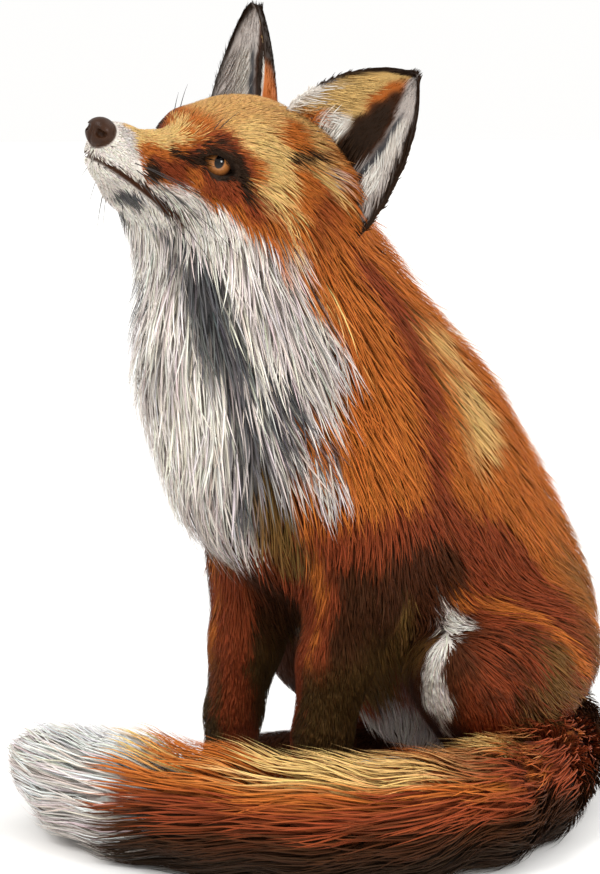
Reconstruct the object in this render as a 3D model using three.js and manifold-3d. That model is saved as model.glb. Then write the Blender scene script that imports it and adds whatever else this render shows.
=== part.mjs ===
// A red fox (Vulpes vulpes), sitting, life size. Millimetres, +Z up, the fox faces -Y
// and its left side is +X. The animal is described as one implicit surface (a signed
// field of round cones and eggs blended into each other), which is turned into a closed
// mesh, thinned to few triangles, and then parted into its named nodes by thin cuts. The
// long coat of ruff, cheeks and brush is flat tapered locks that grow out of it.
import * as THREE from 'three';
import Module from 'manifold-3d';

const wasm = await Module();
wasm.setup();

// ---------------------------------------------------------------- driving dimensions
const GAP = 0.3;                 // clear space between two nodes that touch
const DEG = Math.PI / 180;

const HEAD_PLACE = [3, -161, 415];      // point between the eyes, in the fox's frame
const HEAD_TURN = -13 * DEG;            // to the fox's left
const HEAD_RAISE = 18 * DEG;            // muzzle above level
const HEAD_TILT = 20 * DEG;             // left ear lower than the right one
const HEAD_SIZE = 0.97;                 // of the lengths given in the head's own frame

const EYE_RADIUS = 11;
const EYE_PLACE = [1, 19, -1];          // centre of the left eyeball, in the head's frame
const EYE_LOOK = [0.62, 0.78, 0.06];    // where the left eye looks, in the head's frame
const EYE_OPENING = [22, 13];         // between the lids, length and height

const FOREPAW_LEFT = [39, -108];        // middle of each foot on the floor
const FOREPAW_RIGHT = [-37, -117];
const HINDPAW_LEFT = [83, -58];
const HINDPAW_RIGHT = [-83, -54];
const TOE_SPREAD = 8.4;                 // between the middles of two toes
const CLAW_LENGTH = 12;

// ---------------------------------------------------------------- fields
// A field is a function of x, y, z: negative inside, positive outside, near enough to
// the true distance in millimetres close to the surface.
const clamp = (t, low, high) => Math.min(Math.max(t, low), high);

// Ball swept from a to b while its radius goes from ra to rb.
function cone([ax, ay, az, ra], [bx, by, bz, rb]) {
  const [dx, dy, dz] = [bx - ax, by - ay, bz - az];
  const length2 = dx * dx + dy * dy + dz * dz;
  const grow = (rb - ra) / length2;
  return (x, y, z) => {
    const [px, py, pz] = [x - ax, y - ay, z - az];
    const t = (px * dx + py * dy + pz * dz) / length2;
    const gx = px - t * dx, gy = py - t * dy, gz = pz - t * dz;
    const off = Math.sqrt(gx * gx + gy * gy + gz * gz);
    const h = clamp(t + off * grow / Math.sqrt(Math.max(1e-9, 1 - grow * grow * length2)), 0, 1);
    const qx = px - h * dx, qy = py - h * dy, qz = pz - h * dz;
    return Math.sqrt(qx * qx + qy * qy + qz * qz) - (ra + h * (rb - ra));
  };
}

// Egg with its three half-axes along x, y and z.
function egg([cx, cy, cz], [rx, ry, rz]) {
  return (x, y, z) => {
    const ux = (x - cx) / rx, uy = (y - cy) / ry, uz = (z - cz) / rz;
    const k0 = Math.sqrt(ux * ux + uy * uy + uz * uz);
    const k1 = Math.sqrt((ux / rx) ** 2 + (uy / ry) ** 2 + (uz / rz) ** 2);
    return k1 > 1e-9 ? k0 * (k0 - 1) / k1 : -Math.min(rx, ry, rz);
  };
}

// Union whose parts run into each other over about k millimetres.
function blend(k, ...fields) {
  return (x, y, z) => {
    let d = fields[0](x, y, z);
    for (let i = 1; i < fields.length; i++) {
      const e = fields[i](x, y, z);
      const h = Math.max(k - Math.abs(d - e), 0) / k;
      d = Math.min(d, e) - h * h * k / 4;
    }
    return d;
  };
}

// Swept ball through several knots [x, y, z, radius].
function chain(k, ...knots) {
  const links = [];
  for (let i = 1; i < knots.length; i++) links.push(cone(knots[i - 1], knots[i]));
  return links.length > 1 ? blend(k, ...links) : links[0];
}

// The same field made narrower or wider across the fox's mid-plane.
const across = (factor, field) => (x, y, z) => field(x / factor, y, z) * Math.min(1, factor);

// One field for both sides, given for the left one.
const both = (field) => (x, y, z) => field(Math.abs(x), y, z);

// ---------------------------------------------------------------- the head's own frame
// Axes: forward along the muzzle, left, and up; the origin lies between the eyes.
const headFrame = (() => {
  const forward = new THREE.Vector3(
    -Math.sin(HEAD_TURN) * Math.cos(HEAD_RAISE),
    -Math.cos(HEAD_TURN) * Math.cos(HEAD_RAISE),
    Math.sin(HEAD_RAISE));
  const level = new THREE.Vector3(Math.cos(HEAD_TURN), -Math.sin(HEAD_TURN), 0);
  const upright = forward.clone().cross(level);
  const tilted = (from, to, angle) =>
    from.clone().multiplyScalar(Math.cos(angle)).addScaledVector(to, Math.sin(angle));
  const left = tilted(level, upright, -HEAD_TILT);
  const up = tilted(upright, level, HEAD_TILT);
  return new THREE.Matrix4().makeBasis(forward, left, up)
    .scale(new THREE.Vector3(HEAD_SIZE, HEAD_SIZE, HEAD_SIZE)).setPosition(...HEAD_PLACE);
})();
const headInverse = headFrame.clone().invert();
const fromHead = (a, b, c) => new THREE.Vector3(a, b, c).applyMatrix4(headFrame);

// A field written in the head's frame, read in the fox's frame.
function inHead(field) {
  const m = headInverse.elements;
  return (x, y, z) => HEAD_SIZE * field(
    m[0] * x + m[4] * y + m[8] * z + m[12],
    m[1] * x + m[5] * y + m[9] * z + m[13],
    m[2] * x + m[6] * y + m[10] * z + m[14]);
}
const bothCheeks = (field) => (a, b, c) => field(a, Math.abs(b), c);

// ---------------------------------------------------------------- head
function headField() {
  const skull = blend(22,
    egg([-46, 0, 12], [46, 40, 35]),
    egg([-12, 0, 9], [30, 27, 19]));
  const muzzle = blend(9,
    chain(6, [2, 0, -10, 23], [34, 0, -16.5, 14.5], [60, 0, -18.5, 11.5], [71, 0, -19, 11]),
    chain(6, [10, 0, 4, 11], [36, 0, -9, 8.5], [62, 0, -11.5, 7], [73, 0, -12, 7]));
  const lips = bothCheeks(chain(8, [66, 5, -25, 8.5], [46, 9, -27, 10], [18, 17, -32, 11]));
  const jaw = chain(10, [64, 0, -32.5, 7], [44, 0, -37, 10.5], [12, 0, -42, 15.5], [-24, 0, -46, 22]);
  const cheek = bothCheeks(blend(16,
    egg([-28, 29, -14], [34, 25, 28]),
    egg([-50, 40, -22], [32, 28, 32])));
  const brow = bothCheeks(chain(4, [9, 16, 12, 7], [-12, 26, 12, 8]));
  const lid = bothCheeks(egg(EYE_PLACE, [13, 12.6, 12]));
  const earRoot = bothCheeks(chain(12, [-70, 20, 22, 22], [-80, 38, 10, 21], [-76, 47, -4, 18]));
  return blend(9, blend(14, blend(12, skull, muzzle), jaw, cheek, earRoot), lips, brow, lid);
}

// ---------------------------------------------------------------- ears
// A thin cup: an arc across, swept from the base to the tip while it narrows. Places are
// in the head's frame, for the left ear; `side` -1 mirrors it, and `extra` makes it that
// much larger all round.
const EAR_BASE = [-65, 42, 25];
const EAR_TIP = [-63, 73, 101];
const EAR_ACROSS = [-39.5, 61, -48];    // from the inner edge to the outer one, at the base
const EAR_DEPTH = 26;                   // how far the back bulges behind the edges
const EAR_THICK = 3.2;
const EAR_GAP = 0.4;                    // clear space round its root, in the head and its locks
const EAR_SUNK = 0.14;                  // share of the length below the head's coat

function earMesh(side, extra = 0) {
  const [rows, columns] = [10, 9];
  const base = new THREE.Vector3(...EAR_BASE);
  const along = new THREE.Vector3(...EAR_TIP).sub(base);
  const length = along.length();
  along.normalize();
  const chord = new THREE.Vector3(...EAR_ACROSS);
  const width = chord.length();
  const slant = chord.dot(along);
  chord.addScaledVector(along, -slant).normalize();
  const open = chord.clone().cross(along);
  const half = (u) => extra + 0.5 * width * (1 - 0.999 * Math.max(u, 0) ** 1.8) ** 0.85;
  const sunk = EAR_SUNK + extra / length;
  const place = (u, v, lift) => {
    const taper = 1 - Math.max(u, 0);
    const bulge = EAR_DEPTH * (1 - v * v) * (0.25 + 0.75 * taper) * (u > 0.999 ? 0 : 1);
    const thick = 2 * extra + EAR_THICK * (1 - 0.55 * v * v) * (1 - 0.5 * Math.max(u, 0));
    const p = base.clone()
      .addScaledVector(along, u * length + 0.5 * slant * v * taper)
      .addScaledVector(chord, half(u) * v)
      .addScaledVector(open, -bulge + (lift - 0.5) * thick);
    return p;
  };
  const points = [];
  const faces = [];
  const stride = columns + 1;
  const count = (rows + 1) * stride;
  for (const lift of [0, 1]) {
    for (let i = 0; i <= rows; i++) {
      const u = -sunk + (1 + sunk) * (i / rows) ** 0.85;
      for (let j = 0; j <= columns; j++) {
        const p = place(u, 2 * j / columns - 1, lift);
        points.push(fromHead(p.x, side * p.y, p.z).toArray());
      }
    }
  }
  const square = (a, b, c, d) => faces.push([a, b, c], [a, c, d]);
  for (let i = 0; i < rows; i++) {
    for (let j = 0; j < columns; j++) {
      const a = i * stride + j;
      square(a, a + stride, a + stride + 1, a + 1);
      square(count + a, count + a + 1, count + a + stride + 1, count + a + stride);
    }
    const [l, r] = [i * stride, i * stride + columns];
    square(l, count + l, count + l + stride, l + stride);
    square(r, r + stride, count + r + stride, count + r);
  }
  for (let j = 0; j < columns; j++) {
    const top = rows * stride + j;
    square(j, j + 1, count + j + 1, count + j);
    square(top, count + top, count + top + 1, top + 1);
  }
  if (side < 0) faces.forEach((face) => face.reverse());
  return { points, faces };
}

// ---------------------------------------------------------------- neck, torso and legs
function torsoField() {
  const trunk = across(0.78, chain(40, [0, -80, 303, 76], [0, -50, 249, 89], [0, -5, 198, 93],
    [0, 42, 140, 88], [0, 80, 92, 78], [0, 88, 66, 68]));
  const neck = across(0.76, chain(30, [-6, -115, 380, 54], [-2, -113, 350, 65], [0, -102, 315, 80]));
  const bib = across(0.8, chain(30, [0, -138, 337, 49], [0, -132, 285, 58],
    [0, -116, 230, 54], [0, -98, 200, 40]));
  const shoulder = both(egg([46, -60, 215], [36, 48, 62]));
  const belly = across(0.8, chain(20, [0, -8, 150, 58], [0, 36, 82, 54]));
  return blend(26, trunk, neck, bib, shoulder, belly);
}

// Four toes, side by side, at the end of a foot that points along `heading` (0 is -Y).
function toesField([x, y], heading) {
  const [ax, ay] = [Math.cos(heading), Math.sin(heading)];
  const toes = [-1.5, -0.5, 0.5, 1.5].map((i) => {
    const reach = 17 - 2.2 * i * i;
    const out = i * TOE_SPREAD;
    return chain(4,
      [x + 0.8 * out * ax, y + 0.8 * out * ay, 15, 10],
      [x + out * ax + reach * ay, y + out * ay - reach * ax, 8.5, 9.3]);
  });
  return blend(3, ...toes);
}

function forelegField(side, paw) {
  const [x, y] = paw;
  const leg = chain(8,
    [side * 45, y + 40, 190, 38], [side * 43, y + 38, 150, 31], [x, y + 24, 108, 23.5], [x, y + 13, 62, 18],
    [x, y + 10, 34, 16], [x, y + 2, 16, 17]);
  return blend(6, leg, toesField(paw, 0));
}

// The hind leg, folded: knee forward, hock under the hip, foot flat on the floor.
function hindlegField({ side, hip, knee, hock, paw }) {
  const thigh = blend(20,
    egg([side * 66, 32, 84], [40, 62, 52]),
    cone([side * hip[0], hip[1], hip[2], 43], [side * knee[0], knee[1], knee[2], 30]));
  const shin = chain(10,
    [side * knee[0], knee[1] + 6, knee[2] - 14, 26], [side * hock[0], hock[1], hock[2], 15]);
  const foot = chain(8, [side * hock[0], hock[1], hock[2], 14],
    [(side * hock[0] + paw[0]) / 2, (hock[1] + paw[1]) / 2, 14, 14.5], [paw[0], paw[1] + 4, 14, 16]);
  return blend(14, thigh, shin, blend(6, foot, toesField(paw, side * 0.14)));
}
const LEFT_HIND = {
  side: 1, hip: [60, 70, 100], knee: [80, -18, 98], hock: [50, 52, 20], paw: HINDPAW_LEFT };
const RIGHT_HIND = {
  side: -1, hip: [60, 70, 98], knee: [78, -8, 94], hock: [52, 56, 20], paw: HINDPAW_RIGHT };

// ---------------------------------------------------------------- tail
// Knots [x, y, z, radius] from the root, round the left haunch, to the tip before the feet.
const TAIL = [
  [-6, 148, 42, 21], [22, 136, 30, 25], [56, 102, 28, 28], [90, 54, 31, 32], [122, 2, 34, 35],
  [137, -52, 36, 36], [130, -107, 37, 37], [104, -150, 36, 38], [52, -180, 36, 38],
  [-4, -202, 36, 38], [-48, -213, 38, 32], [-84, -216, 42, 20], [-112, -213, 45, 6]];
const TAIL_CUTS = [2.4, 4.5, 6.6, 9.2];  // knots between which one length ends and the next begins
const tailField = chain(14, ...TAIL);
const BRUSH_CORE = 0.6;                  // of the brush's radius, under its locks
const brushCoreAt = (drop) => chain(14, ...TAIL.map(([x, y, z, r]) => [x, y, z - drop * r, BRUSH_CORE * r]));
const brushCore = blend(8, brushCoreAt(0), brushCoreAt(1 - BRUSH_CORE));   // flattened onto the floor

// ---------------------------------------------------------------- long coat
// Under the locks of ruff and cheeks the body is a core, this far inside the coat's outline.
const RUFF_CORE = 8;
const CHEEK_CORE = 6;

// 1 inside a field and 0 outside it, over a soft edge.
const within = (field, edge) => (x, y, z) => {
  const t = clamp(0.5 - field(x, y, z) / edge, 0, 1);
  return t * t * (3 - 2 * t);
};
const ruffZone = within(chain(20, [0, -118, 336, 74], [0, -108, 306, 88], [0, -150, 262, 58]), 28);
const cheekZone = within(inHead(bothCheeks(egg([-40, 44, -36], [30, 28, 20]))), 20);

// ---------------------------------------------------------------- from field to mesh
// Surface nets: one vertex in each cell that the surface crosses, one square for each
// grid edge that it cuts, and then each vertex slid onto the surface.
function polygonize(field, [low, high], cell) {
  const n = low.map((v, i) => Math.ceil((high[i] - v) / cell) + 1);
  const values = new Float32Array(n[0] * n[1] * n[2]);
  const at = (i, j, k) => i + n[0] * (j + n[1] * k);
  for (let k = 0; k < n[2]; k++) {
    for (let j = 0; j < n[1]; j++) {
      for (let i = 0; i < n[0]; i++) {
        const rim = [i, j, k].some((v, axis) => v === 0 || v === n[axis] - 1);
        const value = field(low[0] + i * cell, low[1] + j * cell, low[2] + k * cell);
        values[at(i, j, k)] = rim ? Math.max(value, cell) : value;
      }
    }
  }
  const cellVertex = new Int32Array(values.length).fill(-1);
  const points = [];
  const corners = [0, 1, 2, 3, 4, 5, 6, 7].map((c) => [c & 1, (c >> 1) & 1, c >> 2]);
  const edges = [[0, 1], [2, 3], [4, 5], [6, 7], [0, 2], [1, 3],
    [4, 6], [5, 7], [0, 4], [1, 5], [2, 6], [3, 7]];
  for (let k = 0; k < n[2] - 1; k++) {
    for (let j = 0; j < n[1] - 1; j++) {
      for (let i = 0; i < n[0] - 1; i++) {
        const v = corners.map(([a, b, c]) => values[at(i + a, j + b, k + c)]);
        const sum = [0, 0, 0];
        let crossings = 0;
        for (const [p, q] of edges) {
          if ((v[p] < 0) === (v[q] < 0)) continue;
          const t = v[p] / (v[p] - v[q]);
          for (let axis = 0; axis < 3; axis++) sum[axis] += corners[p][axis] * (1 - t) + corners[q][axis] * t;
          crossings++;
        }
        if (!crossings) continue;
        cellVertex[at(i, j, k)] = points.length;
        points.push([i, j, k].map((base, axis) => low[axis] + (base + sum[axis] / crossings) * cell));
      }
    }
  }
  const faces = [];
  const square = (a, b, c, d) => faces.push([a, b, c], [a, c, d]);
  // The four cells round a grid edge, in turn, for an edge along x, y and z.
  const rings = [
    [[0, 0, 0], [0, 1, 0], [0, 1, 1], [0, 0, 1]],
    [[0, 0, 0], [0, 0, 1], [1, 0, 1], [1, 0, 0]],
    [[0, 0, 0], [1, 0, 0], [1, 1, 0], [0, 1, 0]]];
  for (let k = 0; k < n[2] - 1; k++) {
    for (let j = 0; j < n[1] - 1; j++) {
      for (let i = 0; i < n[0] - 1; i++) {
        const inside = values[at(i, j, k)] < 0;
        const ends = [values[at(i + 1, j, k)], values[at(i, j + 1, k)], values[at(i, j, k + 1)]];
        rings.forEach((cells, axis) => {
          if (inside === ends[axis] < 0) return;
          const ring = cells.map(([a, b, c]) => cellVertex[at(i - a, j - b, k - c)]);
          square(...(inside ? ring : ring.reverse()));
        });
      }
    }
  }
  const rimmed = (p) => p.some((v, axis) =>
    v < low[axis] + 1.5 * cell || v > low[axis] + (n[axis] - 2.5) * cell);
  for (const p of points) if (!rimmed(p)) settle(field, p, cell * 0.6);
  return { points, faces };
}

function slope(field, [x, y, z]) {
  const h = 0.4;
  const g = [field(x + h, y, z) - field(x - h, y, z), field(x, y + h, z) - field(x, y - h, z),
    field(x, y, z + h) - field(x, y, z - h)];
  return g.map((v) => v / (2 * h));
}

// Slides a point onto the surface of a field, along the field's slope.
function settle(field, p, reach) {
  for (let step = 0; step < 3; step++) {
    const g = slope(field, p);
    const move = clamp(field(...p) / Math.max(0.05, g[0] ** 2 + g[1] ** 2 + g[2] ** 2), -reach, reach);
    for (let axis = 0; axis < 3; axis++) p[axis] -= g[axis] * move;
  }
  return p;
}

// ---------------------------------------------------------------- fewer triangles
// Quadric edge collapse: the edge whose loss moves the surface least goes first, down to
// `target` triangles or until the next loss would cost more than `worst`. An edge stays
// where its loss would fold a triangle over or pinch the closed surface. `evenness` keeps
// edges of like length.
function reduce({ points, faces }, { target = 0, worst = Infinity, evenness = 1e-3 }) {
  const cross = (a, b, c) => {
    const ux = b[0] - a[0], uy = b[1] - a[1], uz = b[2] - a[2];
    const vx = c[0] - a[0], vy = c[1] - a[1], vz = c[2] - a[2];
    return [uy * vz - uz * vy, uz * vx - ux * vz, ux * vy - uy * vx];
  };
  const around = points.map(() => new Set());
  const quadric = points.map(() => new Float64Array(10));
  faces.forEach(([a, b, c], f) => {
    for (const v of [a, b, c]) around[v].add(f);
    const n = cross(points[a], points[b], points[c]);
    const area = Math.hypot(...n) || 1e-9;
    const [x, y, z] = n.map((v) => v / area);
    const d = -(x * points[a][0] + y * points[a][1] + z * points[a][2]);
    const q = [x * x, x * y, x * z, x * d, y * y, y * z, y * d, z * z, z * d, d * d];
    for (const v of [a, b, c]) q.forEach((value, i) => { quadric[v][i] += value * area; });
  });
  const cost = (q, [x, y, z]) => q[0] * x * x + 2 * q[1] * x * y + 2 * q[2] * x * z + 2 * q[3] * x
    + q[4] * y * y + 2 * q[5] * y * z + 2 * q[6] * y + q[7] * z * z + 2 * q[8] * z + q[9];
  const stamp = new Int32Array(points.length);
  const alive = new Uint8Array(faces.length).fill(1);
  const heap = [];
  const push = (item) => {
    let i = heap.push(item) - 1;
    while (i > 0) {
      const up = (i - 1) >> 1;
      if (heap[up].cost <= item.cost) break;
      heap[i] = heap[up];
      i = up;
    }
    heap[i] = item;
  };
  const pop = () => {
    const top = heap[0];
    const item = heap.pop();
    if (heap.length) {
      let i = 0;
      for (;;) {
        let child = 2 * i + 1;
        if (child >= heap.length) break;
        if (child + 1 < heap.length && heap[child + 1].cost < heap[child].cost) child++;
        if (heap[child].cost >= item.cost) break;
        heap[i] = heap[child];
        i = child;
      }
      heap[i] = item;
    }
    return top;
  };
  // Best place for the merged vertex: the quadric's minimum near the edge, else an end.
  const merged = (a, b) => {
    const q = quadric[a].map((v, i) => v + quadric[b][i]);
    const [p, r] = [points[a], points[b]];
    const middle = p.map((v, i) => (v + r[i]) / 2);
    const matrix = new THREE.Matrix3().set(q[0], q[1], q[2], q[1], q[4], q[5], q[2], q[5], q[7]);
    const options = [middle, p, r];
    const size = (q[0] + q[4] + q[7]) / 3;
    if (Math.abs(matrix.determinant()) > 1e-4 * size ** 3) {
      const best = new THREE.Vector3(-q[3], -q[6], -q[8]).applyMatrix3(matrix.invert()).toArray();
      const reach = Math.hypot(p[0] - r[0], p[1] - r[1], p[2] - r[2]);
      if (Math.hypot(...best.map((v, i) => v - middle[i])) < reach) options.unshift(best);
    }
    let [place, least] = [middle, Infinity];
    for (const option of options) {
      const value = cost(q, option);
      if (value < least) [place, least] = [option, value];
    }
    const length2 = (p[0] - r[0]) ** 2 + (p[1] - r[1]) ** 2 + (p[2] - r[2]) ** 2;
    return { a, b, place, cost: Math.max(least, 0) + evenness * length2, at: stamp[a] + stamp[b] };
  };
  const neighbours = (v) => {
    const found = new Set();
    for (const f of around[v]) for (const w of faces[f]) if (w !== v) found.add(w);
    return found;
  };
  const folds = (v, other, place) => {
    for (const f of around[v]) {
      if (faces[f].includes(other)) continue;
      const before = cross(...faces[f].map((w) => points[w]));
      const after = cross(...faces[f].map((w) => (w === v ? place : points[w])));
      const dot = before[0] * after[0] + before[1] * after[1] + before[2] * after[2];
      if (dot < 0.35 * Math.hypot(...before) * Math.hypot(...after)) return true;
    }
    return false;
  };
  points.forEach((_, v) => {
    for (const w of neighbours(v)) if (v < w) push(merged(v, w));
  });
  let left = faces.length;
  while (left > target && heap.length && heap[0].cost < worst) {
    const { a, b, place, at } = pop();
    if (stamp[a] < 0 || stamp[b] < 0 || stamp[a] + stamp[b] !== at) continue;
    const near = neighbours(a);
    let shared = 0;
    for (const w of neighbours(b)) if (near.has(w)) shared++;
    if (shared !== 2 || folds(a, b, place) || folds(b, a, place)) continue;
    for (const f of [...around[b]]) {
      if (faces[f].includes(a)) {
        for (const w of faces[f]) around[w].delete(f);
        alive[f] = 0;
        left--;
      } else {
        faces[f] = faces[f].map((w) => (w === b ? a : w));
        around[a].add(f);
      }
    }
    quadric[b].forEach((v, i) => { quadric[a][i] += v; });
    points[a] = place;
    stamp[b] = -1;
    stamp[a] += 1;
    for (const w of neighbours(a)) {
      stamp[w] += 1;
    }
    for (const w of neighbours(a)) {
      for (const u of neighbours(w)) if (w < u || u === a) push(merged(w, u));
    }
  }
  const number = new Map();
  const kept = faces.filter((_, f) => alive[f]);
  const corner = (v) => {
    if (!number.has(v)) number.set(v, number.size);
    return number.get(v);
  };
  const renumbered = kept.map((face) => face.map(corner));
  const places = [];
  for (const [v, i] of number) places[i] = points[v];
  return { points: places, faces: renumbered };
}

// ---------------------------------------------------------------- solids
const SLIVERS = { worst: 0.01, evenness: 1e-6 };        // needless edges that cuts leave behind
const LOCK_SLIVERS = { worst: 0.2, evenness: 1e-6 };    // the same among locks, where they may be coarser

function solid({ points, faces }) {
  const mesh = new wasm.Mesh({
    numProp: 3,
    vertProperties: new Float32Array(points.flat()),
    triVerts: new Uint32Array(faces.flat()),
  });
  mesh.merge();
  return new wasm.Manifold(mesh);
}

// A mesh whose vertices have moved outwards by `distance`.
function grown({ points, faces }, distance) {
  const normals = points.map(() => new THREE.Vector3());
  for (const face of faces) {
    const [a, b, c] = face.map((v) => new THREE.Vector3(...points[v]));
    const normal = b.sub(a).cross(c.sub(a));
    for (const v of face) normals[v].add(normal);
  }
  for (const normal of normals) normal.normalize();
  const moved = points.map((p, i) => p.map((v, axis) => v + normals[i].getComponent(axis) * distance));
  return { points: moved, faces };
}

function fromGeometry(geometry) {
  const { position } = geometry.attributes;
  const index = geometry.index ? [...geometry.index.array] : [...Array(position.count).keys()];
  const places = new Map();
  const points = [];
  const number = index.map((v) => {
    const p = [position.getX(v), position.getY(v), position.getZ(v)];
    const key = p.map((c) => c.toFixed(4)).join();
    if (!places.has(key)) places.set(key, points.push(p) - 1);
    return places.get(key);
  });
  const faces = [];
  for (let i = 0; i < number.length; i += 3) {
    const face = number.slice(i, i + 3);
    if (new Set(face).size === 3) faces.push(face);
  }
  return solid({ points, faces });
}

// The largest closed surface of a solid: hollows and loose scraps go.
function largest(body) {
  let best = null;
  for (const piece of body.decompose()) {
    if (!best || piece.volume() > best.volume()) best = piece;
  }
  return best;
}

function meshOf(body) {
  const { vertProperties, triVerts } = body.getMesh();
  const row = (list, i) => Array.from(list.slice(3 * i, 3 * i + 3));
  const rows = (list) => Array.from({ length: list.length / 3 }, (_, i) => row(list, i));
  return { points: rows(vertProperties), faces: rows(triVerts) };
}

// Moves a corner that lies where another one does a little towards its neighbours, so that
// the closed surface nowhere touches itself.
function spread({ points, faces }) {
  const taken = new Set();
  points.forEach((p, v) => {
    const key = p.map((c) => c.toFixed(2)).join();
    if (taken.has(key)) {
      const near = faces.filter((face) => face.includes(v)).flat().filter((w) => w !== v);
      p.forEach((_, axis) => {
        const mean = near.reduce((sum, w) => sum + points[w][axis], 0) / near.length;
        p[axis] += 0.02 * (mean - p[axis]);
      });
    }
    taken.add(key);
  });
  return { points, faces };
}

function bodyMesh(name, body, material, slivers) {
  const reduced = reduce(meshOf(largest(body)), slivers);
  const { points, faces } = spread(meshOf(largest(solid(reduced))));
  for (const p of points) if (Math.abs(p[2]) < 0.1) p[2] = 0;   // what was on the floor stays there
  const geometry = new THREE.BufferGeometry();
  geometry.setAttribute('position', new THREE.Float32BufferAttribute(points.flat(), 3));
  geometry.setIndex(faces.flat());
  const mesh = new THREE.Mesh(geometry, material);
  mesh.name = name;
  return mesh;
}

// What is left of a body on the side of a plane [point, normal] that the normal leads to,
// less `shift` millimetres.
function beyond(body, [point, normal], shift = GAP / 2) {
  const n = new THREE.Vector3(...normal).normalize();
  return body.trimByPlane(n.toArray(), n.dot(new THREE.Vector3(...point)) + shift);
}
const flip = ([point, normal]) => [point, normal.map((v) => -v)];
const behind = (body, plane) => beyond(body, flip(plane));
const onFloor = (body) => beyond(body, [[0, 0, 0], [0, 0, 1]], 0);

// Parts a body in two, with the gap between them: what lies beyond all the planes, and
// the rest.
function part(body, planes) {
  const block = fromGeometry(new THREE.BoxGeometry(1200, 1200, 1200));
  const region = (shift) => planes.reduce((left, plane) => beyond(left, plane, shift), block);
  return [body.intersect(region(GAP / 2)), body.subtract(region(-GAP / 2))];
}

// ---------------------------------------------------------------- locks
// Seeded draw between -1 and 1.
let seed = 7;
function vary() {
  seed = (seed * 16807) % 2147483647;
  return 2 * seed / 2147483647 - 1;
}

// A flat lock: sections with a left edge, a low ridge and a right edge, and a tip. Each
// section is { centre, side, up }, with half the width and the thickness as vectors.
const LOCK_STEPS = 4;
const LOCK_RISE = 0.55;    // how early a lock rises: 1 would be evenly, less is sooner
const LOCK_STEADY = 3;     // how much its flat side keeps to one direction

function lock(sections, tip) {
  const points = [];
  for (const { centre, side, up } of sections) {
    points.push(centre.clone().sub(side), centre.clone().add(up), centre.clone().add(side));
  }
  points.push(tip);
  const faces = [[0, 1, 2]];
  const last = 3 * (sections.length - 1);
  for (let i = 0; i < 3; i++) {
    const next = (i + 1) % 3;
    for (let ring = 0; ring < last; ring += 3) {
      const [a, b] = [ring + i, ring + next];
      faces.push([a, a + 3, b + 3], [a, b + 3, b]);
    }
    faces.push([last + i, last + 3, last + next]);
  }
  return solid({ points: points.map((p) => p.toArray()), faces });
}

// How wide and thick a lock is at a share t of its length: full at first, then to a point.
const taper = (t) => (1 - t ** 2) ** 0.9;

// A lock that grows from the surface of `core` at `start`, runs along `lie` over it and
// rises out to the surface of `outline` at its tip. Its flat side keeps close to one
// direction, however the surface turns below it.
function coatLock({ core, outline, start, lie, length, width, thick, sunk, proud }) {
  const walk = [];
  const mean = new THREE.Vector3();
  const p = start.toArray();
  for (let i = 0; i <= LOCK_STEPS; i++) {
    settle(core, p, 6);
    const normal = new THREE.Vector3(...slope(core, p)).normalize();
    const along = lie.clone().addScaledVector(normal, -lie.dot(normal)).normalize();
    const rise = (Math.max(-outline(...p), 0) + proud + sunk) * (i / LOCK_STEPS) ** LOCK_RISE - sunk;
    walk.push({ centre: new THREE.Vector3(...p).addScaledVector(normal, rise), normal, along });
    mean.add(normal);
    along.clone().multiplyScalar(length / LOCK_STEPS).toArray().forEach((v, axis) => { p[axis] += v; });
  }
  mean.normalize();
  const sections = walk.slice(0, -1).map(({ centre, normal, along }, i) => {
    const up = normal.addScaledVector(mean, LOCK_STEADY);
    up.addScaledVector(along, -up.dot(along)).normalize();
    const size = taper(i / LOCK_STEPS);
    const side = up.clone().cross(along).multiplyScalar(0.5 * width * size);
    return { centre, side, up: up.multiplyScalar(thick * size) };
  });
  return lock(sections, walk[LOCK_STEPS].centre);
}

const joined = (bodies) => wasm.Manifold.union(bodies);

// ---------------------------------------------------------------- materials
const coat = (colour) => new THREE.MeshStandardMaterial({ color: colour, roughness: 0.95, metalness: 0 });
const ORANGE = coat('#b5652c');
const RUST = coat('#8f4a24');
const PALE = coat('#ddd3c8');
const DARK = coat('#3a2415');

const group = new THREE.Group();
const add = (name, body, material, slivers = SLIVERS) => group.add(bodyMesh(name, body, material, slivers));
const sideName = (side) => (side > 0 ? 'left' : 'right');

// ---------------------------------------------------------------- the whole animal
const body = blend(18, torsoField(), hindlegField(LEFT_HIND), hindlegField(RIGHT_HIND));
const legs = blend(14, body, forelegField(1, FOREPAW_LEFT), forelegField(-1, FOREPAW_RIGHT));
const whole = blend(26, legs, inHead(headField()));
const coatCore = (x, y, z) =>
  whole(x, y, z) + RUFF_CORE * ruffZone(x, y, z) + CHEEK_CORE * cheekZone(x, y, z);

// A mesh of a field inside a box, from cells of one size, thinned to so many triangles.
function cast(field, { box, cell, triangles }) {
  return reduce(polygonize(field, box, cell), { target: triangles });
}
const UNDER = -12;                       // boxes begin this low, so that the floor cuts what is in them
const TAIL_BOX = [[-140, -270, UNDER], [200, 190, 100]];
const BRUSH_CAST = { box: TAIL_BOX, cell: 7, triangles: 700 };
const TAIL_CORE_CAST = { box: TAIL_BOX, cell: 8, triangles: 200 };
const HAUNCH_CAST = { box: [[-130, -210, UNDER], [130, 190, 200]], cell: 7, triangles: 600 };
const NOSE_CAST = { box: [[-20, -270, 400], [50, -215, 450]], cell: 1.5, triangles: 220 };
const HEAD_CAST = { box: [[-120, -270, 310], [120, -40, 480]], cell: 3.5, triangles: 1800 };
const TRUNK_CAST = { box: [[-130, -210, UNDER], [130, 190, 400]], cell: 7, triangles: 1800 };
const PAW_CAST = { cell: 2.8, triangles: 300 };

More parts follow.
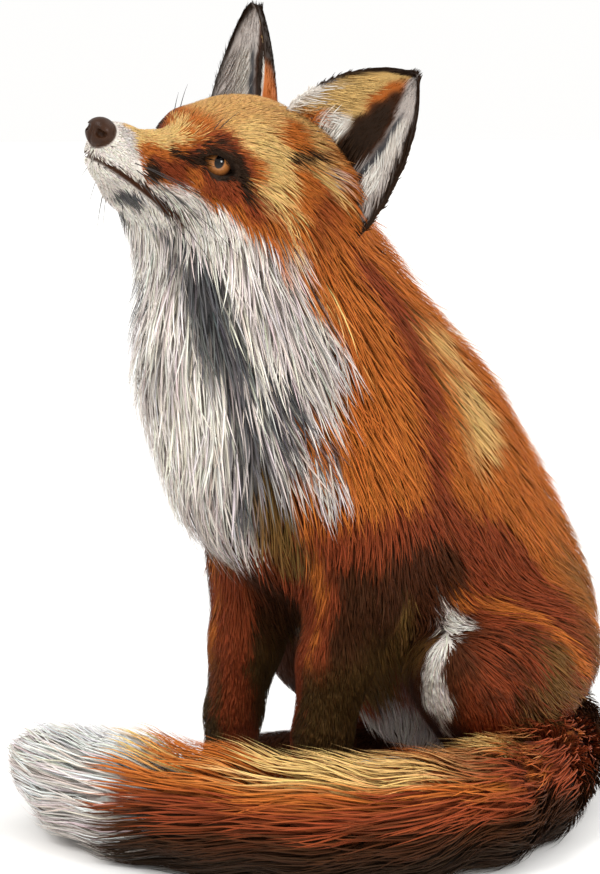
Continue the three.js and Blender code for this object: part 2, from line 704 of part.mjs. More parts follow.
const brush = cast(tailField, BRUSH_CAST);
const tailRoom = solid(grown(brush, GAP));

// ---------------------------------------------------------------- tail, in five lengths
function tailPlane(knot) {
  const i = Math.floor(knot);
  const [p, q] = [TAIL[i], TAIL[i + 1]];
  const point = p.slice(0, 3).map((v, axis) => v + (q[axis] - v) * (knot - i));
  return [point, [0, 1, 2].map((axis) => q[axis] - p[axis])];
}

// Place `length` millimetres along the tail, at an angle round it from the top, and at a
// share of its radius. Past the tip it goes straight on.
const spine = new THREE.CatmullRomCurve3(TAIL.map(([x, y, z]) => new THREE.Vector3(x, y, z)));
const spineLength = spine.getLength();
function onTail(length, angle, share) {
  const u = clamp(length / spineLength, 0, 1);
  const tangent = spine.getTangentAt(u);
  const side = tangent.clone().cross(new THREE.Vector3(0, 0, 1)).normalize();
  const out = side.clone().cross(tangent).multiplyScalar(Math.cos(angle))
    .addScaledVector(side, Math.sin(angle));
  const knot = spine.getUtoTmapping(u) * (TAIL.length - 1);
  const i = Math.min(Math.floor(knot), TAIL.length - 2);
  const radius = TAIL[i][3] + (TAIL[i + 1][3] - TAIL[i][3]) * (knot - i);
  const centre = spine.getPointAt(u).addScaledVector(tangent, length - u * spineLength);
  return { centre: centre.addScaledVector(out, share * radius), tangent, out };
}

// A lock of the brush grows from `root` of the tail's radius out to `tip` of it.
const BRUSH_LOCK = { length: 112, width: 48, thick: 9, root: 0.42, tip: 1.02 };
const BRUSH_ROW = 66;                    // from one row of locks to the next
const BRUSH_TURN = 52 * DEG;             // from one lock of a row to the next
function brushLock(from, angle) {
  const sections = [];
  const length = BRUSH_LOCK.length * (1 + 0.12 * vary());
  const twist = 0.16 * vary();
  const tipShare = BRUSH_LOCK.tip + 0.05 * vary();
  for (let i = 0; i <= LOCK_STEPS; i++) {
    const t = i / LOCK_STEPS;
    const share = BRUSH_LOCK.root + (tipShare - BRUSH_LOCK.root) * t ** 0.6;
    const { centre, tangent, out } = onTail(from + length * t, angle + twist * t, share);
    if (i === LOCK_STEPS) return lock(sections, centre);
    const side = out.clone().cross(tangent).multiplyScalar(0.5 * BRUSH_LOCK.width * taper(t));
    sections.push({ centre, side, up: out.clone().multiplyScalar(BRUSH_LOCK.thick * taper(t)) });
  }
}

// Rows of locks along the tail, each row turned by half a lock against the last. None
// grows from the underside, which lies on the floor.
function brushLocks() {
  const locks = [];
  const first = (spineLength - BRUSH_LOCK.length) % BRUSH_ROW;
  for (let from = first; from < spineLength - BRUSH_LOCK.length + 1; from += BRUSH_ROW) {
    const shift = Math.round((from - first) / BRUSH_ROW) % 2 ? 0 : 0.5;
    for (let i = -2.5 + shift; i <= 2.5; i++) {
      locks.push(brushLock(from + 6 * vary(), i * BRUSH_TURN + 0.08 * vary()));
    }
  }
  return joined(locks);
}

// Locks stay out of the body, but for the room that the brush has there.
const haunches = solid(grown(cast(body, HAUNCH_CAST), GAP)).subtract(solid(brush));
const tail = solid(cast(brushCore, TAIL_CORE_CAST)).add(brushLocks().subtract(haunches));

// The middle cut parts the loop into two arcs, each short enough for plain cuts.
function addTail() {
  const [first, second, middle, last] = TAIL_CUTS.map(tailPlane);
  const rear = behind(tail, middle);
  const front = beyond(tail, middle);
  const lengths = [behind(rear, first), behind(beyond(rear, first), second), beyond(rear, second),
    behind(front, last), beyond(front, last)];
  lengths.forEach((length, i) => {
    const tip = i === lengths.length - 1;
    add(`tail_${i + 1}`, onFloor(length), tip ? PALE : ORANGE, LOCK_SLIVERS);
  });
}
addTail();

// ---------------------------------------------------------------- head and its pieces
const NAPE = [[0, -110, 356], [-0.2, 0.12, -0.97]];   // between head and neck

function placed(geometry, matrix) {
  geometry.applyMatrix4(matrix);
  return fromGeometry(geometry);
}

function eyeFrame(side) {
  const [a, b, c] = EYE_LOOK;
  const look = new THREE.Vector3(a, side * b, c).normalize();
  const up = look.clone().cross(new THREE.Vector3(-b, side * a, 0.12)).normalize();
  const along = up.clone().cross(look);
  const frame = new THREE.Matrix4().makeBasis(along, up, look)
    .setPosition(EYE_PLACE[0], side * EYE_PLACE[1], EYE_PLACE[2]);
  return headFrame.clone().multiply(frame);
}

const eyeBall = (side, radius) => placed(new THREE.SphereGeometry(radius, 12, 8), eyeFrame(side));

// The slit between the lids: an almond, as deep as the lids are thick.
function lidSlit(side) {
  const [length, height] = EYE_OPENING;
  const almond = new THREE.Shape();
  almond.moveTo(-length / 2, 0);
  almond.bezierCurveTo(-length / 4, height * 0.72, length / 4, height * 0.72, length / 2, 0);
  almond.bezierCurveTo(length / 4, -height * 0.6, -length / 4, -height * 0.6, -length / 2, 0);
  const slit = new THREE.ExtrudeGeometry(almond, { depth: 20, bevelEnabled: false, curveSegments: 8 });
  return placed(slit.translate(0, 0, 2), eyeFrame(side));
}

// The bare nose: a rounded block with a nostril in each side of its front.
const noseField = inHead(blend(5,
  egg([78, 0, -10], [9, 9, 7]),
  egg([80, 0, -15], [6.5, 8.5, 8.5]),
  bothCheeks(egg([79, 5.5, -13.5], [6, 5, 5.5]))));
const noseMesh = cast(noseField, NOSE_CAST);

function nostril(side) {
  const hole = new THREE.SphereGeometry(1, 8, 6).scale(5, 2.1, 2.3);
  hole.rotateZ(side * 0.5).translate(86, side * 5.2, -14);
  return placed(hole, headFrame);
}

// The sheet that parts the lower jaw from the head: wide at the lips, so that it shows as
// the mouth, thin behind the corner of the mouth. Places are forward and up.
function jawSheet() {
  const lips = [[100, -27.5], [78, -27.5], [60, -29.5], [36, -33], [16, -40]];
  const seam = [[2, -54], [-12, -90]];
  const upper = [...lips.map(([a, c]) => [a, c + 0.6]), ...seam.map(([a, c]) => [a - GAP, c])];
  const lower = [...lips.map(([a, c]) => [a, c - 0.6]), ...seam].reverse();
  const outline = new THREE.Shape([...upper, ...lower].map(([a, c]) => new THREE.Vector2(a, c)));
  const sheet = new THREE.ExtrudeGeometry(outline, { depth: 120, bevelEnabled: false });
  sheet.rotateX(Math.PI / 2).translate(0, 60, 0);
  return placed(sheet, headFrame);
}

// Rings of locks round the neck, square to it, each ring lower down and the lowest only
// in front; and rows of locks on each cheek.
const NECK_AXIS = new THREE.Vector3(0, 0.35, -0.94).normalize();
const RUFF_TOP = new THREE.Vector3(0, -108, 372);
const RUFF_RINGS = [
  { count: 11, reach: 180 }, { count: 12, reach: 180 }, { count: 12, reach: 180 }, { count: 7, reach: 84 }];
const RUFF_STEP = 34;
const RUFF_LOCK = { length: 72, width: 42, thick: 6, sunk: 7, proud: 3 };
const CHEEK_LOCK = { length: 44, width: 26, thick: 5, sunk: 6, proud: 1 };

// Where a ray from inside a field leaves it.
function leave(field, from, direction) {
  const p = from.clone();
  for (let step = 0; step < 30; step++) p.addScaledVector(direction, -0.9 * field(p.x, p.y, p.z));
  return p;
}

function grow(sizes, start, lie) {
  const length = sizes.length * (1 + 0.12 * vary());
  const bent = lie.clone().addScaledVector(start.clone().sub(RUFF_TOP).cross(lie).normalize(), 0.16 * vary());
  return coatLock({ ...sizes, core: coatCore, outline: whole, start, lie: bent, length });
}

function ruffLocks() {
  const left = new THREE.Vector3(1, 0, 0);
  const front = NECK_AXIS.clone().cross(left);
  const locks = [];
  RUFF_RINGS.forEach(({ count, reach }, ring) => {
    const centre = RUFF_TOP.clone().addScaledVector(NECK_AXIS, ring * RUFF_STEP);
    for (let i = 0; i < count; i++) {
      const round = reach < 180 ? 2 * i / (count - 1) - 1 : 2 * (i + 0.5 * (ring % 2)) / count - 1;
      const angle = (round * reach + 4 * vary()) * DEG;
      const ray = front.clone().multiplyScalar(Math.cos(angle)).addScaledVector(left, Math.sin(angle));
      locks.push(grow(RUFF_LOCK, leave(coatCore, centre, ray), NECK_AXIS));
    }
  });
  return locks;
}

function cheekLocks(side) {
  const lie = headFrame.clone().setPosition(0, 0, 0);
  const locks = [];
  for (const [back, count] of [[-24, 3], [-46, 3]]) {
    for (let i = 0; i < count; i++) {
      const angle = (-14 - 26 * i + 4 * vary()) * DEG;
      const from = fromHead(back, side * 14, -14);
      const ray = new THREE.Vector3(0, side * Math.cos(angle), Math.sin(angle)).applyMatrix4(lie).normalize();
      const along = new THREE.Vector3(-0.86, side * 0.22, -0.46).applyMatrix4(lie).normalize();
      locks.push(grow(CHEEK_LOCK, leave(coatCore, from, ray), along));
    }
  }
  return locks;
}
const earRoom = joined([1, -1].map((side) => solid(earMesh(side, 4 * EAR_GAP))));
const longCoat = joined([...ruffLocks(), ...cheekLocks(1), ...cheekLocks(-1)]).subtract(earRoom);

function addHead() {
  const mesh = cast(coatCore, HEAD_CAST);
  const room = solid(grown(mesh, EAR_GAP));
  let skull = behind(solid(mesh).add(longCoat), NAPE).subtract(solid(grown(noseMesh, GAP)));
  for (const side of [1, -1]) {
    add(`ear_${sideName(side)}`, solid(earMesh(side)).subtract(room), DARK);
    add(`eye_${sideName(side)}`, eyeBall(side, EYE_RADIUS), DARK);
    skull = skull.subtract(eyeBall(side, EYE_RADIUS + GAP)).subtract(lidSlit(side));
  }
  add('nose_pad', solid(noseMesh).subtract(nostril(1)).subtract(nostril(-1)), DARK);
  const pieces = skull.subtract(jawSheet()).decompose().sort((p, q) => q.volume() - p.volume());
  add('head', pieces[0], RUST);
  add('lower_jaw', pieces[1], PALE);
}
addHead();

// ---------------------------------------------------------------- neck, torso and legs
const NECK = [[0, -92, 285], [0, -0.35, 0.94]];       // between neck and chest
const WAIST = [[0, -10, 180], [0, -0.85, 0.53]];      // between chest and loin

// Planes given for the left side, or mirrored to the right one.
const onSide = (side, planes) => planes.map(([[x, y, z], [a, b, c]]) => [[side * x, y, z], [side * a, b, c]]);

const FORELEG = [
  [[0, 0, 0], [1, 0, 0]], [[72, 0, 0], [-1, 0, 0]], [[0, -54, 0], [0, -1, 0]], [[0, 0, 128], [0, 0, -1]]];
const FOREPAW_TOP = 38;
const HINDLEG = [[[38, 0, 90], [0.86, 0, -0.5]], [[24, 0, 0], [1, 0, 0]], [[0, 118, 0], [0, -1, 0]]];
const HINDFOOT_TOP = 32;

// The claws of one foot, one at the end of each toe.
function claws([x, y], heading) {
  return [-1.5, -0.5, 0.5, 1.5].map((i) => {
    const claw = new THREE.ConeGeometry(2.6, CLAW_LENGTH, 5);
    claw.rotateX(Math.PI + 0.35).translate(i * TOE_SPREAD, -(17 - 2.2 * i * i) - 11, 6.5);
    const place = new THREE.Matrix4().makeRotationZ(heading).setPosition(x, y, 0);
    return placed(claw, place);
  });
}

function addPaw(name, box, planes, paw, heading) {
  let foot = planes.reduce((left, plane) => beyond(left, plane), solid(cast(whole, { box, ...PAW_CAST })));
  for (const claw of claws(paw, heading)) foot = foot.add(claw);
  add(name, onFloor(foot).subtract(tailRoom), DARK);
}

function addBody() {
  const trunkMesh = cast(coatCore, TRUNK_CAST);
  let rest = beyond(onFloor(solid(trunkMesh)).add(longCoat).subtract(tailRoom), NAPE);
  for (const side of [1, -1]) {
    const name = sideName(side);
    const paw = side > 0 ? FOREPAW_LEFT : FOREPAW_RIGHT;
    const [foreleg, others] = part(rest, onSide(side, FORELEG));
    const top = [[0, 0, FOREPAW_TOP], [0, 0, 1]];
    add(`foreleg_${name}`, beyond(foreleg, top), DARK);
    const box = [[paw[0] - 32, paw[1] - 45, UNDER], [paw[0] + 32, paw[1] + 45, 50]];
    addPaw(`forepaw_${name}`, box, [flip(top)], paw, 0);
    rest = others;
  }
  for (const side of [1, -1]) {
    const name = sideName(side);
    const paw = side > 0 ? HINDPAW_LEFT : HINDPAW_RIGHT;
    const [hindleg, others] = part(rest, onSide(side, HINDLEG));
    const foot = [[[0, 0, HINDFOOT_TOP], [0, 0, -1]], [[0, 66, 0], [0, -1, 0]]];
    const [, thigh] = part(hindleg, foot);
    add(`thigh_${name}`, thigh, ORANGE);
    const box = side > 0 ? [[10, -110, UNDER], [125, 80, 42]] : [[-125, -110, UNDER], [-10, 80, 42]];
    addPaw(`hindfoot_${name}`, box, [...foot, ...onSide(side, HINDLEG.slice(0, 2))], paw, side * 0.14);
    rest = others;
  }
  add('neck', beyond(rest, NECK), PALE, LOCK_SLIVERS);
  const trunk = behind(rest, NECK);
  add('chest', beyond(trunk, WAIST), ORANGE, LOCK_SLIVERS);
  add('loin', behind(trunk, WAIST), ORANGE);
}
addBody();

// The origin is the middle of the bounding box, on the floor.
const bounds = new THREE.Box3().setFromObject(group, true);
const middle = bounds.getCenter(new THREE.Vector3());
group.position.set(-middle.x, -middle.y, -bounds.min.z);

export default group;
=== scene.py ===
"""A sitting red fox, life size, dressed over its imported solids: skin, coat, eyes, nose, claws and whiskers."""

import math

import bmesh
import bpy
import numpy as np
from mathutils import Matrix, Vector


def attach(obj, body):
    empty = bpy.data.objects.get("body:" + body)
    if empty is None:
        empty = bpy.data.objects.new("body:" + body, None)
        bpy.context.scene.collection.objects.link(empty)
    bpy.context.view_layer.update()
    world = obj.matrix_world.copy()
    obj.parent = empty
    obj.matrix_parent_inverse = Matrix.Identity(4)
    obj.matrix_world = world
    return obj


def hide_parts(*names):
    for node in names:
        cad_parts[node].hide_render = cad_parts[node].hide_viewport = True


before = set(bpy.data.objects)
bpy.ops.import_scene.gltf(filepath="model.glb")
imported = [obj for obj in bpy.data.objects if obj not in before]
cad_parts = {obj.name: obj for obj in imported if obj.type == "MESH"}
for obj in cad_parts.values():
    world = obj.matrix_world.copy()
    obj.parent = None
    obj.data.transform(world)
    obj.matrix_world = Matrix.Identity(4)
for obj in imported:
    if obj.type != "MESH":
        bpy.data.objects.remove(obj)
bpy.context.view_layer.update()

# ---------------------------------------------------------------- the studio
# The fox sits on a plain pale floor under soft light from above and in front.
# Everything is worked out in the fox's own millimetres, and set down in metres.
MM = 0.001
TO_PART = np.array([-22.929, 38.481, 0.0])    # from the fox's own frame to the part's


def in_metres(points):
    return (np.asarray(points, float) + TO_PART) * MM


def colour(red, green, blue, alpha=1.0):
    """A screen colour, 0 to 255, as the linear one that shaders take."""
    srgb = np.array([red, green, blue], float) / 255
    linear = np.where(srgb <= 0.04045, srgb / 12.92, ((srgb + 0.055) / 1.055) ** 2.4)
    return (*linear.tolist(), alpha)


def mesh_object(name, points, faces, smooth=True):
    """A piece from points in the fox's millimetres and faces that all have as many corners."""
    faces = np.asarray(faces, np.int32)
    mesh = bpy.data.meshes.new(name)
    mesh.vertices.add(len(points))
    mesh.vertices.foreach_set("co", in_metres(points).astype(np.float32).ravel())
    mesh.loops.add(faces.size)
    mesh.loops.foreach_set("vertex_index", faces.ravel())
    mesh.polygons.add(len(faces))
    mesh.polygons.foreach_set("loop_start", np.arange(0, faces.size, faces.shape[1], dtype=np.int32))
    mesh.update(calc_edges=True)
    if smooth:
        mesh.shade_smooth()
    piece = bpy.data.objects.new(name, mesh)
    bpy.context.scene.collection.objects.link(piece)
    return piece


def new_material(name, roughness):
    """A node material, its shader, and a maker of nodes in it."""
    material = bpy.data.materials.new(name)
    material.use_nodes = True
    nodes = material.node_tree.nodes
    shader = nodes["Principled BSDF"]
    shader.inputs["Roughness"].default_value = roughness

    def node(kind, **values):
        made = nodes.new(kind)
        for key, value in values.items():
            if key in made.inputs:
                made.inputs[key].default_value = value
            else:
                setattr(made, key, value)
        return made

    def link(source, target):
        material.node_tree.links.new(source, target)

    return material, shader, node, link


FLOOR_SIDE = 60000
floor = mesh_object("floor", [[-FLOOR_SIDE, -FLOOR_SIDE, 0], [FLOOR_SIDE, -FLOOR_SIDE, 0],
                              [FLOOR_SIDE, FLOOR_SIDE, 0], [-FLOOR_SIDE, FLOOR_SIDE, 0]], [[0, 1, 2, 3]])
floor_paint, floor_shader, node, link = new_material("pale_floor", 0.9)
floor_shader.inputs["Specular IOR Level"].default_value = 0.0
mottle = node("ShaderNodeTexNoise", Scale=3.0, Detail=2.0)
place = node("ShaderNodeTexCoord")
shade = node("ShaderNodeMix", data_type="RGBA", A=colour(240, 239, 237), B=colour(244, 243, 241))
link(place.outputs["Object"], mottle.inputs["Vector"])
link(mottle.outputs["Fac"], shade.inputs["Factor"])
link(shade.outputs["Result"], floor_shader.inputs["Base Color"])
floor.data.materials.append(floor_paint)

world = bpy.data.worlds.new("studio_air")
world.use_nodes = True
world.node_tree.nodes["Background"].inputs["Color"].default_value = (1.0, 0.995, 0.985, 1.0)
world.node_tree.nodes["Background"].inputs["Strength"].default_value = 1.0
bpy.context.scene.world = world
bpy.context.scene.view_settings.view_transform = "Standard"


def direction_to(azimuth, elevation):
    """Unit vector from the fox towards a camera or lamp: azimuth 0 is in front of its chest."""
    a, e = math.radians(azimuth), math.radians(elevation)
    return np.array([math.sin(a) * math.cos(e), -math.cos(a) * math.cos(e), math.sin(e)])


def aimed(data, name, start, target):
    """Sets a camera or lamp down at start, looking at target, both in the fox's millimetres."""
    made = bpy.data.objects.new(name, data)
    bpy.context.scene.collection.objects.link(made)
    made.location = in_metres(start)
    aim = Vector(in_metres(target) - in_metres(start))
    made.rotation_euler = aim.to_track_quat("-Z", "Y").to_euler()
    return made


SIGHT = np.array([-39.0, -47.0, 234.0])       # what the camera looks at
camera_data = bpy.data.cameras.new("camera")
camera_data.sensor_width = 36.0
camera_data.lens = 90.1
camera = aimed(camera_data, "camera", SIGHT + 1400 * direction_to(50, 8), SIGHT)
bpy.context.scene.camera = camera

for name, azimuth, elevation, softness, power in [("key_light", 0, 55, 26, 1.4), ("back_light", 160, 50, 40, 0.5)]:
    lamp = bpy.data.lights.new(name, "SUN")
    lamp.angle = math.radians(softness)
    lamp.energy = power
    aimed(lamp, name, SIGHT + 1700 * direction_to(azimuth, elevation), SIGHT)
glint = bpy.data.lights.new("eye_light", "AREA")    # gives the near eye its glint
glint.shape = "DISK"
glint.size = 0.36
glint.energy = 8.5
aimed(glint, "eye_light", SIGHT + 1440 * direction_to(87.6, 28), SIGHT)

# ---------------------------------------------------------------- the shape of the animal
# The fox is one rounded body of flesh under its coat. Its outline is the same sum of
# swept balls and eggs that the solids were cut from, so that skin and coat fit them.
DEG = math.pi / 180
HEAD_PLACE = np.array([3.0, -161.0, 415.0])
HEAD_TURN, HEAD_RAISE, HEAD_TILT = -13 * DEG, 18 * DEG, 20 * DEG
HEAD_SIZE = 0.97
FOREPAWS = {1: (39.0, -108.0), -1: (-37.0, -117.0)}
HINDPAWS = {1: (83.0, -58.0), -1: (-83.0, -54.0)}
TOE_SPREAD = 8.4
TOES = (-1.5, -0.5, 0.5, 1.5)

head_forward = np.array([-math.sin(HEAD_TURN) * math.cos(HEAD_RAISE),
                         -math.cos(HEAD_TURN) * math.cos(HEAD_RAISE), math.sin(HEAD_RAISE)])
head_level = np.array([math.cos(HEAD_TURN), -math.sin(HEAD_TURN), 0.0])
head_upright = np.cross(head_forward, head_level)
head_left = head_level * math.cos(HEAD_TILT) - head_upright * math.sin(HEAD_TILT)
head_up = head_upright * math.cos(HEAD_TILT) + head_level * math.sin(HEAD_TILT)
HEAD_AXES = np.array([head_forward, head_left, head_up])


def from_head(places):
    """Places given forward, left and up from between the eyes, in the fox's frame."""
    return HEAD_PLACE + HEAD_SIZE * (np.asarray(places, float) @ HEAD_AXES)


def turned_from_head(directions):
    return np.asarray(directions, float) @ HEAD_AXES


def to_head(points):
    return (np.asarray(points) - HEAD_PLACE) @ HEAD_AXES.T / HEAD_SIZE


def cone(start, end):
    """Ball swept from one knot x, y, z, radius to another, as distances from its surface."""
    start, end = np.array(start, float), np.array(end, float)
    run = end[:3] - start[:3]
    length2 = float(run @ run)
    grow = (end[3] - start[3]) / length2
    lean = grow / math.sqrt(max(1e-9, 1 - grow * grow * length2))

    def field(p):
        q = p - start[:3].astype(np.float32)
        t = q @ run.astype(np.float32) / length2
        off = np.sqrt(np.maximum(np.einsum("ij,ij->i", q, q) - t * t * length2, 0))
        h = np.clip(t + off * lean, 0, 1)
        q = q - h[:, None] * run.astype(np.float32)
        return np.sqrt(np.einsum("ij,ij->i", q, q)) - (start[3] + h * (end[3] - start[3]))
    return field


def egg(centre, axes):
    centre, axes = np.array(centre, np.float32), np.array(axes, np.float32)

    def field(p):
        u = (p - centre) / axes
        k0 = np.sqrt(np.einsum("ij,ij->i", u, u))
        u = u / axes
        k1 = np.sqrt(np.einsum("ij,ij->i", u, u))
        return k0 * (k0 - 1) / np.maximum(k1, 1e-9)
    return field


def blend(width, *fields):
    def field(p):
        d = fields[0](p)
        for other in fields[1:]:
            e = other(p)
            h = np.maximum(width - np.abs(d - e), 0) / width
            d = np.minimum(d, e) - h * h * width / 4
        return d
    return field


def chain(width, *knots):
    links = [cone(a, b) for a, b in zip(knots, knots[1:])]
    return blend(width, *links) if len(links) > 1 else links[0]


def across(factor, inner):
    stretch = np.array([1 / factor, 1, 1], np.float32)
    return lambda p: inner(p * stretch) * min(1, factor)


def mirrored(axis, inner):
    def field(p):
        q = p.copy()
        q[:, axis] = np.abs(q[:, axis])
        return inner(q)
    return field


def both(inner):
    return mirrored(0, inner)


def both_cheeks(inner):
    return mirrored(1, inner)


def in_head(inner):
    return lambda p: HEAD_SIZE * inner(to_head(p).astype(np.float32))


EYE_PLACE = np.array([1.0, 19.0, -1.0])
skull = blend(22, egg([-46, 0, 12], [46, 40, 35]), egg([-12, 0, 9], [30, 27, 19]))
muzzle = blend(9, chain(6, [2, 0, -10, 23], [34, 0, -16.5, 14.5], [60, 0, -18.5, 11.5], [71, 0, -19, 11]),
               chain(6, [10, 0, 4, 11], [36, 0, -9, 8.5], [62, 0, -11.5, 7], [73, 0, -12, 7]))
lips = both_cheeks(chain(8, [66, 5, -25, 8.5], [46, 9, -27, 10], [18, 17, -32, 11]))
jaw = chain(10, [64, 0, -32.5, 7], [44, 0, -37, 10.5], [12, 0, -42, 15.5], [-24, 0, -46, 22])
cheek = both_cheeks(blend(16, egg([-28, 29, -14], [34, 25, 28]), egg([-50, 40, -22], [32, 28, 32])))
brow = both_cheeks(chain(4, [9, 16, 12, 7], [-12, 26, 12, 8]))
lid = both_cheeks(egg(EYE_PLACE, [13, 12.6, 12]))
ear_root = both_cheeks(chain(12, [-70, 20, 22, 22], [-80, 38, 10, 21], [-76, 47, -4, 18]))
head = in_head(blend(9, blend(14, blend(12, skull, muzzle), jaw, cheek, ear_root), lips, brow, lid))

trunk = across(0.78, chain(40, [0, -80, 303, 76], [0, -50, 249, 89], [0, -5, 198, 93],
                           [0, 42, 140, 88], [0, 80, 92, 78], [0, 88, 66, 68]))
neck = across(0.76, chain(30, [-6, -115, 380, 54], [-2, -113, 350, 65], [0, -102, 315, 80]))
bib = across(0.8, chain(30, [0, -138, 337, 49], [0, -132, 285, 58], [0, -116, 230, 54], [0, -98, 200, 40]))
shoulder = both(egg([46, -60, 215], [36, 48, 62]))
belly = across(0.8, chain(20, [0, -8, 150, 58], [0, 36, 82, 54]))
torso = blend(26, trunk, neck, bib, shoulder, belly)


def toes(paw, heading):
    x, y = paw
    ax, ay = math.cos(heading), math.sin(heading)
    made = []
    for i in TOES:
        reach, out = 17 - 2.2 * i * i, i * TOE_SPREAD
        made.append(chain(4, [x + 0.8 * out * ax, y + 0.8 * out * ay, 15, 10],
                          [x + out * ax + reach * ay, y + out * ay - reach * ax, 8.5, 9.3]))
    return blend(3, *made)


def foreleg(side):
    x, y = FOREPAWS[side]
    leg = chain(8, [side * 45, y + 40, 190, 38], [side * 43, y + 38, 150, 31], [x, y + 24, 108, 23.5],
                [x, y + 13, 62, 18], [x, y + 10, 34, 16], [x, y + 2, 16, 17])
    return blend(6, leg, toes(FOREPAWS[side], 0))


def hindleg(side, hip, knee, hock):
    paw = HINDPAWS[side]
    thigh = blend(20, egg([side * 66, 32, 84], [40, 62, 52]),
                  cone([side * hip[0], hip[1], hip[2], 43], [side * knee[0], knee[1], knee[2], 30]))
    shin = chain(10, [side * knee[0], knee[1] + 6, knee[2] - 14, 26], [side * hock[0], hock[1], hock[2], 15])
    foot = chain(8, [side * hock[0], hock[1], hock[2], 14],
                 [(side * hock[0] + paw[0]) / 2, (hock[1] + paw[1]) / 2, 14, 14.5], [paw[0], paw[1] + 4, 14, 16])
    return blend(14, thigh, shin, blend(6, foot, toes(paw, side * 0.14)))


hind_left = hindleg(1, (60, 70, 100), (80, -18, 98), (50, 52, 20))
hind_right = hindleg(-1, (60, 70, 98), (78, -8, 94), (52, 56, 20))
body_outline = blend(26, blend(14, blend(18, torso, hind_left, hind_right), foreleg(1), foreleg(-1)), head)

TAIL = np.array([
    [-6, 148, 42, 21], [22, 136, 30, 25], [56, 102, 28, 28], [90, 54, 31, 32], [122, 2, 34, 35],
    [137, -52, 36, 36], [130, -107, 37, 37], [104, -150, 36, 38], [52, -180, 36, 38],
    [-4, -202, 36, 38], [-48, -213, 38, 32], [-84, -216, 42, 20], [-112, -213, 45, 6]], float)
tail_outline = chain(14, *TAIL)
TAIL_CORE = 0.6                                # of the brush's radius, under its locks
tail_core = blend(8, *[chain(14, *np.column_stack([TAIL[:, :2], TAIL[:, 2] - drop * TAIL[:, 3], TAIL_CORE * TAIL[:, 3]]))
                       for drop in (0, 1 - TAIL_CORE)])

# ---------------------------------------------------------------- the lie of the coat
# A fox's hair runs back from the nose, down neck, back and legs, and along the tail. It
# is a few millimetres long on face and feet, and 70 mm in the ruff. Each comb stroke
# says how the hair runs and how long it is near one place; between them it runs over.
# place, run of the hair, length, reach of the stroke; strokes "in head" are mirrored.
HEAD_STROKES = [
    ([76, 6, -10], [-1, 0.15, 0.1], 3.5, 12), ([74, 4, -24], [-1, 0.3, -0.2], 4, 10), ([60, 10, -2], [-1, 0.05, 0.05], 5, 14),
    ([60, 14, -22], [-1, 0.1, -0.35], 5, 14), ([36, 8, 2], [-1, 0.05, 0.2], 6, 16), ([40, 20, -22], [-1, 0.3, -0.4], 7, 14),
    ([22, 8, 14], [-0.9, 0.15, 0.3], 7, 12), ([18, 22, 0], [-0.9, 0.4, 0.1], 3.5, 8), ([8, 22, 14], [-0.85, 0.35, 0.35], 6, 10),
    ([6, 33, -12], [-0.9, 0.35, -0.35], 6, 11), ([2, 36, 6], [-0.95, 0.3, -0.1], 5, 10), ([20, 28, -20], [-0.9, 0.35, -0.4], 8, 12),
    ([-10, 10, 30], [-1, 0.1, 0.15], 9, 18), ([-40, 14, 44], [-1, 0.1, -0.05], 12, 22), ([-12, 38, 12], [-0.95, 0.2, -0.2], 11, 16),
    ([-10, 46, -12], [-0.8, 0.3, -0.55], 15, 16), ([-34, 56, 4], [-0.85, 0.15, -0.55], 17, 18), ([-36, 62, -22], [-0.7, 0.3, -0.7], 26, 20),
    ([-60, 58, -10], [-0.75, 0.1, -0.65], 28, 22), ([-80, 30, 34], [-0.9, 0.0, -0.45], 20, 26), ([0, 34, -34], [-0.8, 0.4, -0.55], 15, 16),
    ([30, 14, -42], [-0.95, 0.15, -0.3], 8, 16), ([0, 10, -54], [-0.9, 0.1, -0.45], 16, 20), ([60, 6, -38], [-1, 0.1, -0.1], 5, 12),
    ([-24, 40, -48], [-0.6, 0.35, -0.8], 34, 22), ([-34, 72, -36], [-0.55, 0.35, -0.8], 36, 20)]
